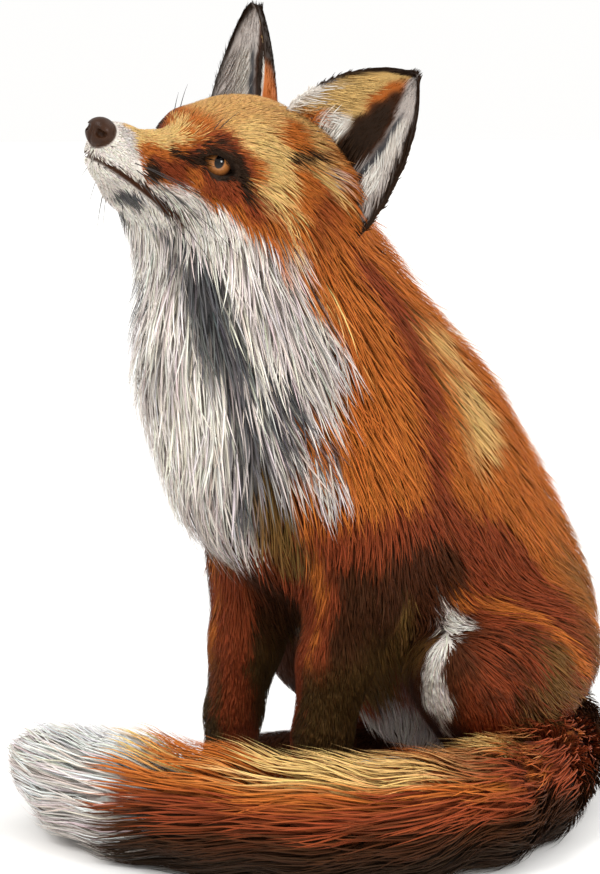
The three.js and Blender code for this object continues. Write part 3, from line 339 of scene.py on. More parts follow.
# the same on the body, mirrored too: places from the fox's own origin
BODY_STROKES = [
    ([0, -176, 350], [0, 0.1, -1], 44, 30), ([45, -150, 345], [0.15, 0.12, -1], 52, 32), ([66, -100, 345], [0.1, 0.35, -0.9], 50, 32),
    ([40, -52, 370], [0, 0.6, -0.8], 40, 34), ([0, -45, 375], [0, 0.6, -0.8], 36, 34), ([0, -190, 300], [0, 0.1, -1], 54, 36),
    ([48, -165, 290], [0.1, 0.12, -1], 56, 36), ([30, -165, 230], [0, 0.15, -1], 50, 36), ([66, -110, 280], [0.05, 0.3, -0.95], 50, 34),
    ([72, -60, 290], [0.05, 0.4, -0.9], 38, 40), ([0, -8, 330], [0, 0.55, -0.83], 38, 40), ([74, -20, 220], [0, 0.5, -0.86], 34, 44),
    ([60, -70, 200], [0, 0.25, -0.97], 28, 34), ([0, 60, 250], [0, 0.5, -0.86], 38, 50), ([70, 40, 170], [0, 0.55, -0.83], 36, 44),
    ([0, 120, 190], [0, 0.35, -0.94], 38, 50), ([60, 100, 130], [0, 0.45, -0.9], 36, 44), ([0, 155, 90], [0, 0.2, -0.98], 40, 44),
    ([60, 130, 60], [0, 0.3, -0.95], 34, 40), ([100, 20, 110], [0.05, 0.75, -0.65], 30, 36), ([105, 60, 70], [0, 0.8, -0.6], 30, 34),
    ([78, -18, 136], [0.15, 0.4, -0.9], 9, 15), ([84, -46, 102], [0.05, 0.15, -0.98], 10, 18),
    ([86, -40, 92], [0.05, 0.3, -0.95], 14, 22), ([84, -34, 60], [0, 0.2, -0.97], 14, 24), ([40, 10, 110], [0, 0.3, -0.95], 30, 34),
    ([0, -60, 160], [0, 0.35, -0.94], 34, 34), ([45, -80, 150], [0, 0.1, -1], 18, 24), ([40, -92, 100], [0, 0.05, -1], 10, 24),
    ([39, -100, 50], [0, 0, -1], 7, 24), ([39, -104, 26], [0, -0.5, -0.85], 6, 14), ([39, -125, 16], [0, -0.95, -0.3], 5, 14),
    ([70, 0, 20], [0.2, -0.95, -0.1], 8, 30), ([83, -70, 14], [0, -0.95, -0.2], 6, 16), ([50, 50, 20], [0, -0.3, -0.9], 12, 22)]


def comb():
    rows = []
    for place, run, length, reach in HEAD_STROKES:
        for side in (1, -1):
            flip = np.array([1, side, 1])
            rows.append((*from_head(np.array(place) * flip), *turned_from_head(np.array(run) * flip), length, reach))
    for place, run, length, reach in BODY_STROKES:
        for side in (1, -1):
            flip = np.array([side, 1, 1])
            rows.append((*(np.array(place) * flip), *(np.array(run) * flip), length, reach))
    return np.array(rows, np.float32)


STROKES = comb()


def combed(p):
    """Run of the hair and its length at points on the head and the body."""
    p = np.asarray(p, np.float32)
    total = np.full(len(p), 1e-12, np.float32)
    run = np.zeros((len(p), 3), np.float32)
    length = np.zeros(len(p), np.float32)
    for x, y, z, dx, dy, dz, hair, reach in STROKES:
        q = p - np.array([x, y, z], np.float32)
        d2 = np.einsum("ij,ij->i", q, q) / (reach * reach)
        weight = 1 / (d2 * d2 + 0.02)
        total += weight
        run += weight[:, None] * np.array([dx, dy, dz], np.float32)
        length += weight * hair
    return run / np.maximum(np.linalg.norm(run, axis=1), 1e-9)[:, None], length / total


def soft(edge, value):
    """0 below -edge/2, 1 above edge/2, smooth between."""
    t = np.clip(0.5 + np.asarray(value) / edge, 0, 1)
    return t * t * (3 - 2 * t)


def coat_depth(p):
    """How far the skin lies below the outline of head and body."""
    length = combed(p)[1]
    depth = np.clip(0.2 * length + 0.2, 0.9, 11)
    near_eye = np.linalg.norm(both_eyes(p), axis=1)
    return depth * (0.35 + 0.65 * soft(8, near_eye - 19))


def both_eyes(p):
    h = to_head(p)
    h[:, 1] = np.abs(h[:, 1])
    return h - EYE_PLACE


# ---------------------------------------------------------------- skin
# One skin covers head, body, legs and tail without a seam. It is drawn as the surface
# where the outline, less the coat's depth, is zero: first coarsely, then the face finer.
CELL = 4.0
LOW = np.array([-134.0, -266.0, -10.0])
STEPS = np.array([80, 113, 132])


def sample(field):
    """A field's values on the whole grid, worked out in slices."""
    axes = [LOW[i] + CELL * np.arange(STEPS[i]) for i in range(3)]
    values = np.empty(STEPS, np.float32)
    for i, x in enumerate(axes[0]):
        y, z = np.meshgrid(axes[1], axes[2], indexing="ij")
        p = np.column_stack([np.full(y.size, x), y.ravel(), z.ravel()]).astype(np.float32)
        values[i] = field(p).reshape(y.shape)
    return values


def surface_net(values, low, cell):
    """Points and squares of the surface where sampled values change sign."""
    inside = values < 0
    n = np.array(values.shape)
    corners = [(i, j, k) for i in (0, 1) for j in (0, 1) for k in (0, 1)]

    def corner(array, c):
        return array[c[0]:n[0] - 1 + c[0], c[1]:n[1] - 1 + c[1], c[2]:n[2] - 1 + c[2]]

    count = sum(corner(inside, c).astype(np.int8) for c in corners)
    active = (count > 0) & (count < 8)
    index = np.full(n - 1, -1, np.int64)
    cells = np.argwhere(active)
    index[active] = np.arange(len(cells))
    total = np.zeros((len(cells), 3))
    hits = np.zeros(len(cells))
    for a in corners:
        for axis in range(3):
            if a[axis]:
                continue
            b = tuple(v + (1 if i == axis else 0) for i, v in enumerate(a))
            va, vb = corner(values, a)[active], corner(values, b)[active]
            cut = (va < 0) != (vb < 0)
            t = np.where(cut, va / np.where(cut, va - vb, 1), 0)
            for i in range(3):
                total[:, i] += np.where(cut, a[i] + (t if i == axis else 0), 0)
            hits += cut
    points = low + cell * (cells + total / hits[:, None])
    faces = []
    for axis in range(3):
        u, v = (axis + 1) % 3, (axis + 2) % 3
        head_end = [slice(1, -1)] * 3
        tail_end = list(head_end)
        head_end[axis] = slice(0, -1)
        tail_end[axis] = slice(1, None)
        a, b = inside[tuple(head_end)], inside[tuple(tail_end)]
        for out, mask in ((True, a & ~b), (False, ~a & b)):
            at = np.argwhere(mask) + [0 if i == axis else 1 for i in range(3)]
            ring = []
            for du, dv in ((0, 0), (-1, 0), (-1, -1), (0, -1)):
                shift = np.zeros(3, int)
                shift[u], shift[v] = du, dv
                ring.append(index[tuple((at + shift).T)])
            ring = np.column_stack(ring)
            faces.append(ring if out else ring[:, ::-1])
    return points, np.concatenate(faces)


def slope(field, p, reach=0.4):
    p = np.asarray(p, np.float32)
    gradient = np.empty((len(p), 3))
    for axis in range(3):
        step = np.zeros(3, np.float32)
        step[axis] = reach
        gradient[:, axis] = (field(p + step) - field(p - step)) / (2 * reach)
    return gradient


def settle(field, p, reach, rounds=3):
    """Slides points onto the surface of a field."""
    p = np.array(p, float)
    for _ in range(rounds):
        g = slope(field, p)
        move = field(p.astype(np.float32)) / np.maximum(0.05, np.einsum("ij,ij->i", g, g))
        p -= g * np.clip(move, -reach, reach)[:, None]
    return p


MOUTH = np.array([[90, -27.5], [78, -27.5], [60, -29.5], [36, -33.5], [17, -39]])   # forward and up, in the head


def off_line(a, c, line):
    """Distance from a polyline in the head's side view, and how far along it, 0 to 1."""
    best = np.full(len(a), 1e9)
    along = np.zeros(len(a))
    for i, (start, end) in enumerate(zip(line, line[1:])):
        run = end - start
        t = np.clip(((a - start[0]) * run[0] + (c - start[1]) * run[1]) / (run @ run), 0, 1)
        d = np.hypot(a - start[0] - t * run[0], c - start[1] - t * run[1])
        closer = d < best
        best[closer] = d[closer]
        along[closer] = (i + t[closer]) / (len(line) - 1)
    return best, along


def face_detail(p):
    """What the skin adds to the outline on the head: the mouth's groove, folds and pads."""
    h = to_head(p)
    a, b, c = h[:, 0], np.abs(h[:, 1]), h[:, 2]
    off, along = off_line(a, c, MOUTH)
    groove = 2.4 * np.exp(-(off / 1.5) ** 2) * soft(8, 0.92 - along) * (a > 5)
    parting = 1.1 * np.exp(-(b / 1.0) ** 2) * soft(6, a - 74) * soft(4, -14 - c)
    pad = -1.2 * np.exp(-((a - 56) / 12) ** 2 - ((c + 21) / 6) ** 2) * soft(6, b - 8)
    tear = 1.3 * np.exp(-((a - 17) / 6) ** 2 - ((b - 19.5) / 3) ** 2 - ((c + 3) / 2.2) ** 2)
    under = 0.8 * np.exp(-((np.hypot(a - 3, c + 1) - 15.5) / 2.0) ** 2) * soft(6, b - 26) * soft(8, -4 - c)
    return groove + parting + pad + tear + under


def flesh(p):
    body = body_outline(p)
    near = np.abs(body) < 30
    body[near] += coat_depth(p[near]).astype(np.float32)
    return blend(7, lambda q: body, tail_core)(p)


def skin_field(p):
    value = flesh(p)
    near = np.linalg.norm(to_head(p) - [20, 0, -10], axis=1) < 110
    value[near] += face_detail(p[near]).astype(np.float32)
    return value


body_grid = sample(body_outline)
tail_grid = sample(tail_outline)
skin_points, skin_faces = surface_net(sample(flesh), LOW, CELL)
skin_points = settle(flesh, skin_points, CELL * 0.6)

rough_skin = mesh_object("skin", skin_points, skin_faces)
work = bmesh.new()
work.from_mesh(rough_skin.data)
bpy.data.objects.remove(rough_skin)


def finer(work, near):
    """Halves the edges whose ends are both near, and slides what is new onto the skin."""
    work.verts.ensure_lookup_table()
    p = np.array([v.co for v in work.verts]) / MM - TO_PART
    wanted = near(p)
    edges = [e for e in work.edges if wanted[e.verts[0].index] and wanted[e.verts[1].index]]
    bmesh.ops.subdivide_edges(work, edges=edges, cuts=1, use_grid_fill=True)
    work.verts.index_update()
    p = np.array([v.co for v in work.verts]) / MM - TO_PART
    moving = near(p)
    p[moving] = settle(skin_field, p[moving], 1.5, 2)
    for v, place in zip(work.verts, in_metres(p)):
        v.co = place


finer(work, lambda p: np.linalg.norm(to_head(p) - [-5, 0, -5], axis=1) < 92)
finer(work, lambda p: np.linalg.norm((to_head(p) - [42, 0, -14]) / [46, 60, 40], axis=1) < 1.0)

# ---------------------------------------------------------------- eyelids
# The lids are the skin's own edge round each eye: bare, dark and a little thick. The
# opening is an almond that looks forward and outward; its rim turns in to the eyeball.
EYE_RADIUS = 11.0
EYE_LOOK = np.array([0.62, 0.78, 0.06])
EYE_HALF = 10.6                                 # half of the opening's length
EYE_UPPER, EYE_LOWER = 5.4, 5.7                 # how far the lids stand open
LID_THICK = 1.5


def eye_axes(side):
    """Along the opening to its outer corner, up, and out: in the fox's frame, with the eye's centre."""
    look = EYE_LOOK / np.linalg.norm(EYE_LOOK)
    up = np.cross(look, [-EYE_LOOK[1], EYE_LOOK[0], 0.12])
    up /= np.linalg.norm(up)
    along = np.cross(up, look)
    flip = np.array([1, side, 1])
    return from_head(EYE_PLACE * flip), *[turned_from_head(v * flip) for v in (along, up, look)]


def almond(u, v):
    """Below 0 inside the opening between the lids, in the eye's own plane."""
    t = np.clip(u / EYE_HALF, -1.2, 1.2)
    droop = -1.0 * t
    arch = np.maximum(1 - t * t, 0) ** 0.8
    top = droop + EYE_UPPER * arch
    low = droop - EYE_LOWER * arch
    return np.maximum(np.maximum(v - top, low - v), np.abs(u) - EYE_HALF)


for side in (1, -1):
    centre, along, up, out = eye_axes(side)
    work.verts.ensure_lookup_table()
    p = np.array([v.co for v in work.verts]) / MM - TO_PART - centre
    u, v, w = p @ along, p @ up, p @ out
    near = (np.abs(u) < 16) & (np.abs(v) < 14) & (w > 2) & (w < 22)
    g = np.where(near, almond(u, v), 9)
    hole = [f for f in work.faces if all(near[x.index] for x in f.verts) and np.mean([g[x.index] for x in f.verts]) < 0]
    bmesh.ops.delete(work, geom=hole, context="FACES")
    rim = [e for e in work.edges if len(e.link_faces) == 1]
    rim_verts = {x for e in rim for x in e.verts}
    for x in rim_verts:                         # the ragged edge is drawn onto the almond
        q = np.array(x.co) / MM - TO_PART - centre
        uu, vv, ww = q @ along, q @ up, q @ out
        for _ in range(12):
            value = almond(uu, vv)
            du = (almond(uu + 0.05, vv) - almond(uu - 0.05, vv)) / 0.1
            dv = (almond(uu, vv + 0.05) - almond(uu, vv - 0.05)) / 0.1
            size = max(0.3, du * du + dv * dv)
            uu, vv = uu - 0.7 * value * du / size, vv - 0.7 * value * dv / size
        ww = math.sqrt(max(1.0, (EYE_RADIUS + LID_THICK) ** 2 - uu * uu - vv * vv))
        x.co = in_metres(centre + uu * along + vv * up + ww * out)
    grown = bmesh.ops.extrude_edge_only(work, edges=rim)
    inner = [x for x in grown["geom"] if isinstance(x, bmesh.types.BMVert)]
    for x in inner:                             # and turned in, just inside the eyeball
        q = np.array(x.co) / MM - TO_PART - centre
        q *= (EYE_RADIUS - 0.6) / np.linalg.norm(q)
        x.co = in_metres(centre + q)
    work.verts.index_update()

bmesh.ops.remove_doubles(work, verts=work.verts, dist=0.00002)
bmesh.ops.triangulate(work, faces=work.faces)
for v in work.verts:                            # the soles and the seat lie flat on the floor
    v.co.z = max(v.co.z, 0.0003)
work.normal_update()
skin_mesh = bpy.data.meshes.new("skin")
work.to_mesh(skin_mesh)
work.free()
skin_mesh.shade_smooth()
skin = bpy.data.objects.new("skin", skin_mesh)
bpy.context.scene.collection.objects.link(skin)

# ---------------------------------------------------------------- markings, and painted light and shade
# A red fox's colours: orange and rust above, white lips, cheeks, throat and bib, dark
# stockings and ear backs, a dark spot beside the muzzle, and a white tip to the brush.
# Skin and coat are stained alike, each marking by a plain rule on head or body.
# Some rules paint light and shade as well: the jaw's shadow down throat and bib, shade on chest, belly, rump and brush,
# highlights on crown, back and brush.
WHITE = np.array(colour(246, 237, 226)[:3])
CREAM = np.array(colour(208, 198, 191)[:3])
GREY = np.array(colour(76, 76, 79)[:3])
TAN = np.array(colour(230, 190, 120)[:3])
ORANGE = np.array(colour(192, 106, 42)[:3])
RUST = np.array(colour(142, 64, 32)[:3])
OLIVE = np.array(colour(124, 90, 46)[:3])
BROWN = np.array(colour(68, 36, 14)[:3])
SOOT = np.array(colour(82, 58, 26)[:3])
BLACK = np.array(colour(44, 28, 15)[:3])


def wander(p, size, seed):
    """Smooth waves between -1 and 1 that break up the edge of a marking."""
    turn = np.random.default_rng(seed).normal(size=(5, 3))
    shift = np.random.default_rng(seed + 1).uniform(0, 6.28, 5)
    return sum(np.sin(p @ (k / size) + s) for k, s in zip(turn, shift)) / 2.6


def lay(base, stain, amount):
    return base + amount[:, None] * (stain - base)


def spot(q, centre, axes, edge=0.35):
    """1 inside an egg, 0 outside, in the frame that q is in."""
    d = np.linalg.norm((q - np.array(centre, float)) / np.array(axes, float), axis=1)
    return soft(edge, 1 - d)


def streak(q, line, width, edge=0.6):
    """1 near a line through places, 0 away from it."""
    best = np.full(len(q), 1e9)
    for start, end in zip(line, line[1:]):
        start, run = np.array(start, float), np.subtract(end, start).astype(float)
        t = np.clip((q - start) @ run / (run @ run), 0, 1)
        best = np.minimum(best, np.linalg.norm(q - start - t[:, None] * run, axis=1))
    return soft(edge * width, width - best)


def head_colours(p, result):
    h = to_head(p)
    exact = np.column_stack([h[:, 0], np.abs(h[:, 1]), h[:, 2]])
    h[:, 0] += 2.0 * wander(p, 7, 3)
    h[:, 2] += 1.5 * wander(p, 6, 5)
    a, c = h[:, 0], h[:, 2]
    b = np.abs(h[:, 1])
    m = np.column_stack([a, b, c])
    patchy = wander(p, 4, 9)
    result = lay(result, ORANGE, soft(20, a + 110))
    # painted highlight in tan on the crown, and tan streaks from the temples down the cheeks
    result = lay(result, TAN, 0.68 * soft(10, c - 19 + 0.08 * a) * soft(12, 10 - a) * soft(20, a + 84))
    result = lay(result, TAN, streak(m, [[-8, 28, 26], [-20, 42, 20], [-25, 50, 8], [-20, 54, -4]], 11))
    result = lay(result, TAN, streak(m, [[-20, 54, -4], [-36, 62, -15], [-45, 68, -23], [-48, 76, -33]], 12) * soft(0.5, 0.2 + patchy))
    result = lay(result, ORANGE, spot(m, [-40, 34, 36], [13, 16, 10], 0.5))
    result = lay(result, ORANGE, spot(m, [-46, 56, 5], [13, 12, 14], 0.5))
    # rust round the eye and back across the cheek, and down the side of the neck
    result = lay(result, RUST, spot(m, [10, 28, 0], [25, 22, 19], 0.3))
    result = lay(result, RUST, streak(m, [[5, 42, -10], [-14, 52, -14], [-30, 58, -17]], 8.5))
    result = lay(result, RUST, spot(m, [30, 18, -14], [20, 12, 7], 0.4))
    result = lay(result, RUST, streak(m, [[-72, 60, 14], [-64, 64, 0], [-62, 76, -20], [-80, 96, -34], [-111, 99, -32]], 18))
    result = lay(result, ORANGE, spot(m, [18.6, 23.5, -13.4], [6, 6, 5], 0.6))
    result = lay(result, ORANGE, streak(m, [[0, 46, -20], [-24, 54, -24], [-35, 62, -20]], 5) * soft(0.6, 0.4 + patchy))
    # tan bridge of the muzzle over an orange stripe
    bridge = np.interp(a, [20, 26, 37, 48, 60, 70], [12, 3.4, -2.8, -6.7, -10.3, -12])
    result = lay(result, ORANGE, soft(2, c - bridge + 4.5) * soft(6, a - 16) * soft(4, 62 - a))
    result = lay(result, TAN, soft(2, c - bridge) * soft(5, a - 18) * soft(6, 66 - a))
    # white lips, cheeks and jaw, up to a line that falls from the muzzle to the neck
    border = np.interp(a, [-60, -42, -33, -25, -10, 5, 14, 22, 36, 46, 52, 56, 60, 66, 80],
                       [-78, -56, -40, -30, -29, -25.4, -21.4, -20.6, -24.6, -28.8, -27, -16, -11, -6, 0])
    pale = soft(3.5, border - c)
    result = lay(result, WHITE, pale)
    result = lay(result, CREAM, 0.5 * pale * soft(0.8, wander(p, 11, 43)))
    result = lay(result, WHITE, soft(5, a - 66))
    result = lay(result, CREAM, spot(m, [68, 8, -6], [7, 9, 4], 0.6))
    result = lay(result, BROWN, spot(exact, [80.5, 0, -13.2], [9.7, 10, 9.8], 0.12))
    # the spot beside the muzzle, the dark rim of the eye with its two tails, the brow
    result = lay(result, BLACK, spot(m, [45.5, 19, -20], [8, 8, 7], 0.4))
    rim_u, rim_v = eye_plane(p)
    result = lay(result, BLACK, soft(1.4, 3.0 + 1.6 * soft(4, rim_v) - almond(rim_u, rim_v)) * soft(4, 16 - np.abs(rim_u)) * near_eye(p))
    result = lay(result, BLACK, streak(exact, [[14, 25, -3], [18, 22, -3.2], [22, 18, -3.7], [27.5, 15.2, -4.5], [32, 13.8, -4.5]], 3.6))
    result = lay(result, BLACK, streak(exact, [[4, 33, 8], [2, 37, 5.5], [-1, 44, -0.5], [-6, 49.5, -8], [-8, 51, -11]], 4.2))
    result = lay(result, BLACK, streak(m, [[17.4, 21, 8], [12, 25.7, 12.5], [5.3, 30.7, 13.5]], 2.8, 0.9))
    # the bare streak and the pale lobe in front of the ear
    result = lay(result, BLACK, streak(m, [[-34, 44, 24], [-60, 43, 35], [-74, 42, 38]], 3.4))
    result = lay(result, TAN, spot(m, [-66, 57, 22], [14, 10, 9]))
    result = lay(result, WHITE, spot(m, [-74, 58, 26], [9, 8, 7]))
    # the dark lips
    off, along = off_line(to_head(p)[:, 0], to_head(p)[:, 2], MOUTH)
    result = lay(result, BROWN, soft(1.6, 1.3 + 1.2 * along - off) * soft(3, a - 13))
    return result


def near_eye(p):
    return soft(6, 26 - np.linalg.norm(both_eyes(p), axis=1))


def eye_plane(p):
    """Places in the plane of the nearer eye's opening."""
    h = to_head(p)
    side = np.where(h[:, 1] >= 0, 1, -1)
    u, v = np.zeros(len(p)), np.zeros(len(p))
    for s in (1, -1):
        centre, along, up, _ = eye_axes(s)
        mine = side == s
        q = np.asarray(p)[mine] - centre
        u[mine], v[mine] = q @ along, q @ up
    return u, v


def body_colours(p, result):
    q = np.array(p, float)
    q += 4 * np.column_stack([wander(p, 14, 21), wander(p, 14, 23), wander(p, 14, 25)])
    q += 2 * np.column_stack([wander(p, 4, 27), wander(p, 4, 28), wander(p, 4, 29)])
    x, y, z = np.abs(q[:, 0]), q[:, 1], q[:, 2]
    m = np.column_stack([x, y, z])
    patchy = wander(p, 9, 35)
    result = lay(result, ORANGE, np.ones(len(p)))
    # a rust band down the neck and shoulder, and painted highlights in tan on the upper back
    result = lay(result, RUST, streak(m, [[62, -78, 352], [60, -48, 314], [80, -44, 262], [86, -47, 226]], 11))
    result = lay(result, TAN, streak(m, [[60, -16, 300], [70, 2, 272], [78, 0, 240]], 15, 1.3) * soft(1.2, 0.4 + patchy) * 0.85)
    result = lay(result, TAN, streak(m, [[20, 10, 316], [24, 60, 262], [20, 96, 216]], 14, 1.6) * soft(1.4, patchy) * 0.6)
    # rust flank; painted shade in dark brown where it meets the thigh and the elbow; olive rump, grizzled fur with
    # painted shade
    low = np.interp(y, [-110, -60, -40, -10, 20, 40, 70, 120], [199, 214, 222, 202, 192, 170, 132, 90])
    result = lay(result, RUST, soft(12, low - z))
    rump = soft(46, y - np.interp(z, [40, 80, 110, 154, 190], [96, 80, 62, 78, 108])) * soft(60, 180 - z)
    # olive on the rump: grizzled fur with painted shade
    result = lay(result, OLIVE, rump * soft(1.6, 0.5 + patchy) * 0.75)
    # painted shade in dark brown in front of the thigh and behind the elbow
    shade = np.interp(y, [-105, -90, -60, -30, -14, 0], [172, 179, 187, 186, 170, 140])
    result = lay(result, BROWN, soft(9, shade - z) * soft(8, -10 - y) * soft(12, x - 44) * 0.9)
    result = lay(result, RUST, streak(m, [[76, -84, 174], [74, -85, 150], [70, -84, 128]], 6))
    # white throat, bib and chest, down to a ragged point between the forelegs
    wide = np.interp(z, [150, 175, 190, 210, 400], [14, 38, 60, 100, 100])
    front = np.interp(z, [150, 174, 189, 208, 228, 248, 264, 280, 290, 304, 326, 350, 400],
                      [-140, -138, -130, -123, -122, -121, -113, -99, -94, -104, -124, -126, -128])
    bib_share = soft(7, wide - x) * soft(7, front - y) * soft(16, z - 162)
    result = lay(result, TAN, streak(m, [[68, -116, 332], [70, -96, 304], [76, -84, 282]], 7))
    result = lay(result, WHITE, bib_share)
    result = lay(result, CREAM, bib_share * soft(0.9, 0.7 * wander(p, 16, 41) + 0.9 * soft(40, y + 162) - 0.2))
    # pale belly and insides of the thighs; painted shade in olive on the belly and where the breast passes between the
    # legs, and in grey on the bib
    inner = soft(16, 40 - x) * soft(30, 140 - z) * soft(30, y + 70)
    # painted shade on the belly, in olive
    result = lay(result, OLIVE, streak(m, [[70, -58, 138], [46, -45, 108], [16, -34, 70]], 15))
    result = lay(result, CREAM, inner * soft(10, y + 20) * soft(30, 62 - y) * 0.9)
    # painted shadow in grey on the bib, below the jaw's shadow on the throat
    result = lay(result, GREY, spot(m, [46, -141, 212], [20, 20, 17], 0.5) * 0.8)
    result = lay(result, GREY, streak(m, [[66, -110, 250], [54, -132, 240], [36, -150, 228], [30, -154, 206]], 5) * 0.8)
    result = lay(result, CREAM, spot(m, [68, -112, 222], [9, 12, 20]))
    # painted shade in olive down the breast between the legs
    result = lay(result, OLIVE, streak(m, [[44, -136, 204], [44, -122, 182], [34, -104, 150], [28, -96, 120]], 14))
    # dark stockings behind a rust and orange front
    fore = soft(10, -56 - y) * soft(8, 80 - x)
    result = lay(result, RUST, fore * soft(16, 168 - z) * soft(6, x - 24) * soft(8, 62 - x))
    result = lay(result, ORANGE, streak(m, [[48, -108, 172], [45, -109, 148], [42, -112, 118], [42, -114, 96]], 6))
    result = lay(result, BROWN, fore * soft(16, 172 - z) * np.maximum(soft(8, 24 - x), soft(8, x - 56)))
    result = lay(result, SOOT, fore * soft(34, 108 - z + 0.5 * (y + 100)) * (1 - 0.6 * streak(m, [[42, -114, 118], [40, -118, 70]], 5)))
    result = lay(result, RUST, streak(m, [[28, -108, 158], [25, -110, 110], [23, -108, 54]], 11))
    # thigh: pale front edge, tan rim above, rust with dark brown flecks
    result = lay(result, RUST, spot(m, [100, 18, 92], [34, 54, 44]))
    result = lay(result, BROWN, spot(m, [104, 8, 98], [30, 36, 30], 0.6) * soft(0.4, wander(p, 5, 37) - 0.2) * 0.7)
    # olive at the back of the thigh: grizzled fur with painted shade
    result = lay(result, OLIVE, spot(m, [104, 44, 76], [34, 34, 40], 0.7) * soft(0.6, 0.35 - patchy) * 0.85)
    result = lay(result, ORANGE, streak(m, [[76, -8, 141], [90, 25, 137], [105, 48, 117], [106, 74, 84]], 5))
    result = lay(result, WHITE, streak(m, [[79, -22, 132], [80, -38, 116], [83, -46, 98], [84, -48, 70], [79, -42, 50]],
                                       10, 0.5) * soft(6, x - 70))
    result = lay(result, BROWN, soft(14, 34 - z) * soft(12, 58 - y) * soft(10, y + 72))
    result = lay(result, SOOT, soft(12, 22 - z) * soft(12, -20 - y))
    return result


def throat_shade(p):
    """The painted shadow of the jaw, from the chin down the throat, wider on the bib, flecked at its end."""
    q = np.column_stack([np.abs(p[:, 0] - 3), p[:, 1], p[:, 2]]) + 2 * wander(p, 5, 45)[:, None]
    narrow = streak(q, [[9, -222, 390], [11, -200, 372], [17, -184, 354], [26, -176, 336]], 5)
    broad = streak(q, [[24, -178, 340], [32, -174, 316], [40, -166, 292]], 12)
    flecks = spot(q, [50, -150, 266], [22, 26, 26]) * soft(0.3, wander(p, 5, 47) - 0.1)
    return np.maximum(np.maximum(narrow, broad), flecks)


def tail_place(p):
    """Where points lie along the tail, in knots from its root, and round it, in turns."""
    best = np.full(len(p), 1e9)
    knot = np.zeros(len(p))
    turn = np.zeros(len(p))
    for i, (start, end) in enumerate(zip(TAIL, TAIL[1:])):
        run = (end - start)[:3]
        q = p - start[:3]
        t = np.clip(q @ run / (run @ run), 0, 1)
        off = q - t[:, None] * run
        d = np.linalg.norm(off, axis=1)
        side = np.cross(run, [0, 0, 1])
        side /= np.linalg.norm(side)
        closer = d < best
        best[closer] = d[closer]
        knot[closer] = i + t[closer]
        turn[closer] = np.arctan2(off[closer] @ side, off[closer, 2]) / (2 * math.pi)
    return knot, turn


def tail_colours(p, result):
    knot, turn = tail_place(p)
    knot = knot + 0.12 * wander(p, 10, 51)
    under = np.abs(turn)
    result = lay(result, ORANGE, np.ones(len(p)))
    # painted highlight in tan along the top of the brush
    result = lay(result, TAN, soft(0.06, 0.11 - under) * soft(0.6, 0.4 + wander(p, 14, 53)) * soft(1.0, knot - 4))
    # painted shade: rust, then brown, then black round towards the underside
    result = lay(result, RUST, soft(0.06, under - 0.15 + 0.05 * wander(p, 14, 55)))
    result = lay(result, RUST, soft(1.6, 5.6 - knot) * soft(0.8, 0.2 + wander(p, 12, 56)))
    result = lay(result, BROWN, soft(0.06, under - 0.235 + 0.03 * wander(p, 9, 57)))
    # painted shadow under the haunch: dark brown at the root
    result = lay(result, BROWN, soft(1.4, 2.6 - knot))
    result = lay(result, BLACK, soft(0.08, under - 0.31))
    result = lay(result, WHITE, soft(0.2, knot - 8.95 + 0.12 * wander(p, 5, 59)))
    # cream patches on the white tip: random tone, and painted shade towards the underside
    result = lay(result, CREAM, soft(0.3, knot - 8.95) * soft(0.5, wander(p, 10, 58) + 2 * (under - 0.2)))
    return np.minimum(1.12 * result, 0.88)


def markings_and_painted_light(p, on_tail):
    """Colour of the coat at points on the body, the head or the tail, with its painted light and shade."""
    result = np.tile(ORANGE, (len(p), 1))
    result = body_colours(p, result)
    h = to_head(p)
    share = soft(26, 92 - np.linalg.norm((h - [-6, 0, -6]) / [1.05, 0.92, 0.9], axis=1))
    near = (share > 0) & ~on_tail
    own = head_colours(p[near], result[near])
    result[near] += share[near][:, None] * (own - result[near])
    # the painted shadow of the jaw down the throat and bib
    result = lay(result, GREY, 0.95 * throat_shade(p))
    result[on_tail] = tail_colours(p[on_tail], result[on_tail])
    return result


def grid_value(grid, p):
    """A sampled field between its grid points."""
    q = np.clip((p - LOW) / CELL, 0, np.array(grid.shape) - 1.001)
    i = q.astype(int)
    f = q - i
    value = np.zeros(len(p))
    for corner in range(8):
        d = np.array([corner & 1, (corner >> 1) & 1, corner >> 2])
        weight = np.prod(np.where(d, f, 1 - f), axis=1)
        value += weight * grid[tuple((i + d).T)]
    return value


def grid_slope(grid, p, reach=2.0):
    return np.column_stack([
        (grid_value(grid, p + reach * np.eye(3)[axis]) - grid_value(grid, p - reach * np.eye(3)[axis])) / (2 * reach)
        for axis in range(3)])


def paint(piece, colours):
    layer = piece.data.attributes.new("stain", "FLOAT_COLOR", "POINT")
    layer.data.foreach_set("color", np.column_stack([colours, np.ones(len(colours))]).astype(np.float32).ravel())


skin_at = np.empty(len(skin_mesh.vertices) * 3)
skin_mesh.vertices.foreach_get("co", skin_at)
skin_at = skin_at.reshape(-1, 3) / MM - TO_PART
skin_on_tail = grid_value(tail_grid, skin_at) < -3
skin_on_tail &= tail_core(skin_at.astype(np.float32)) < 2
paint(skin, markings_and_painted_light(skin_at, skin_on_tail) * 0.8)

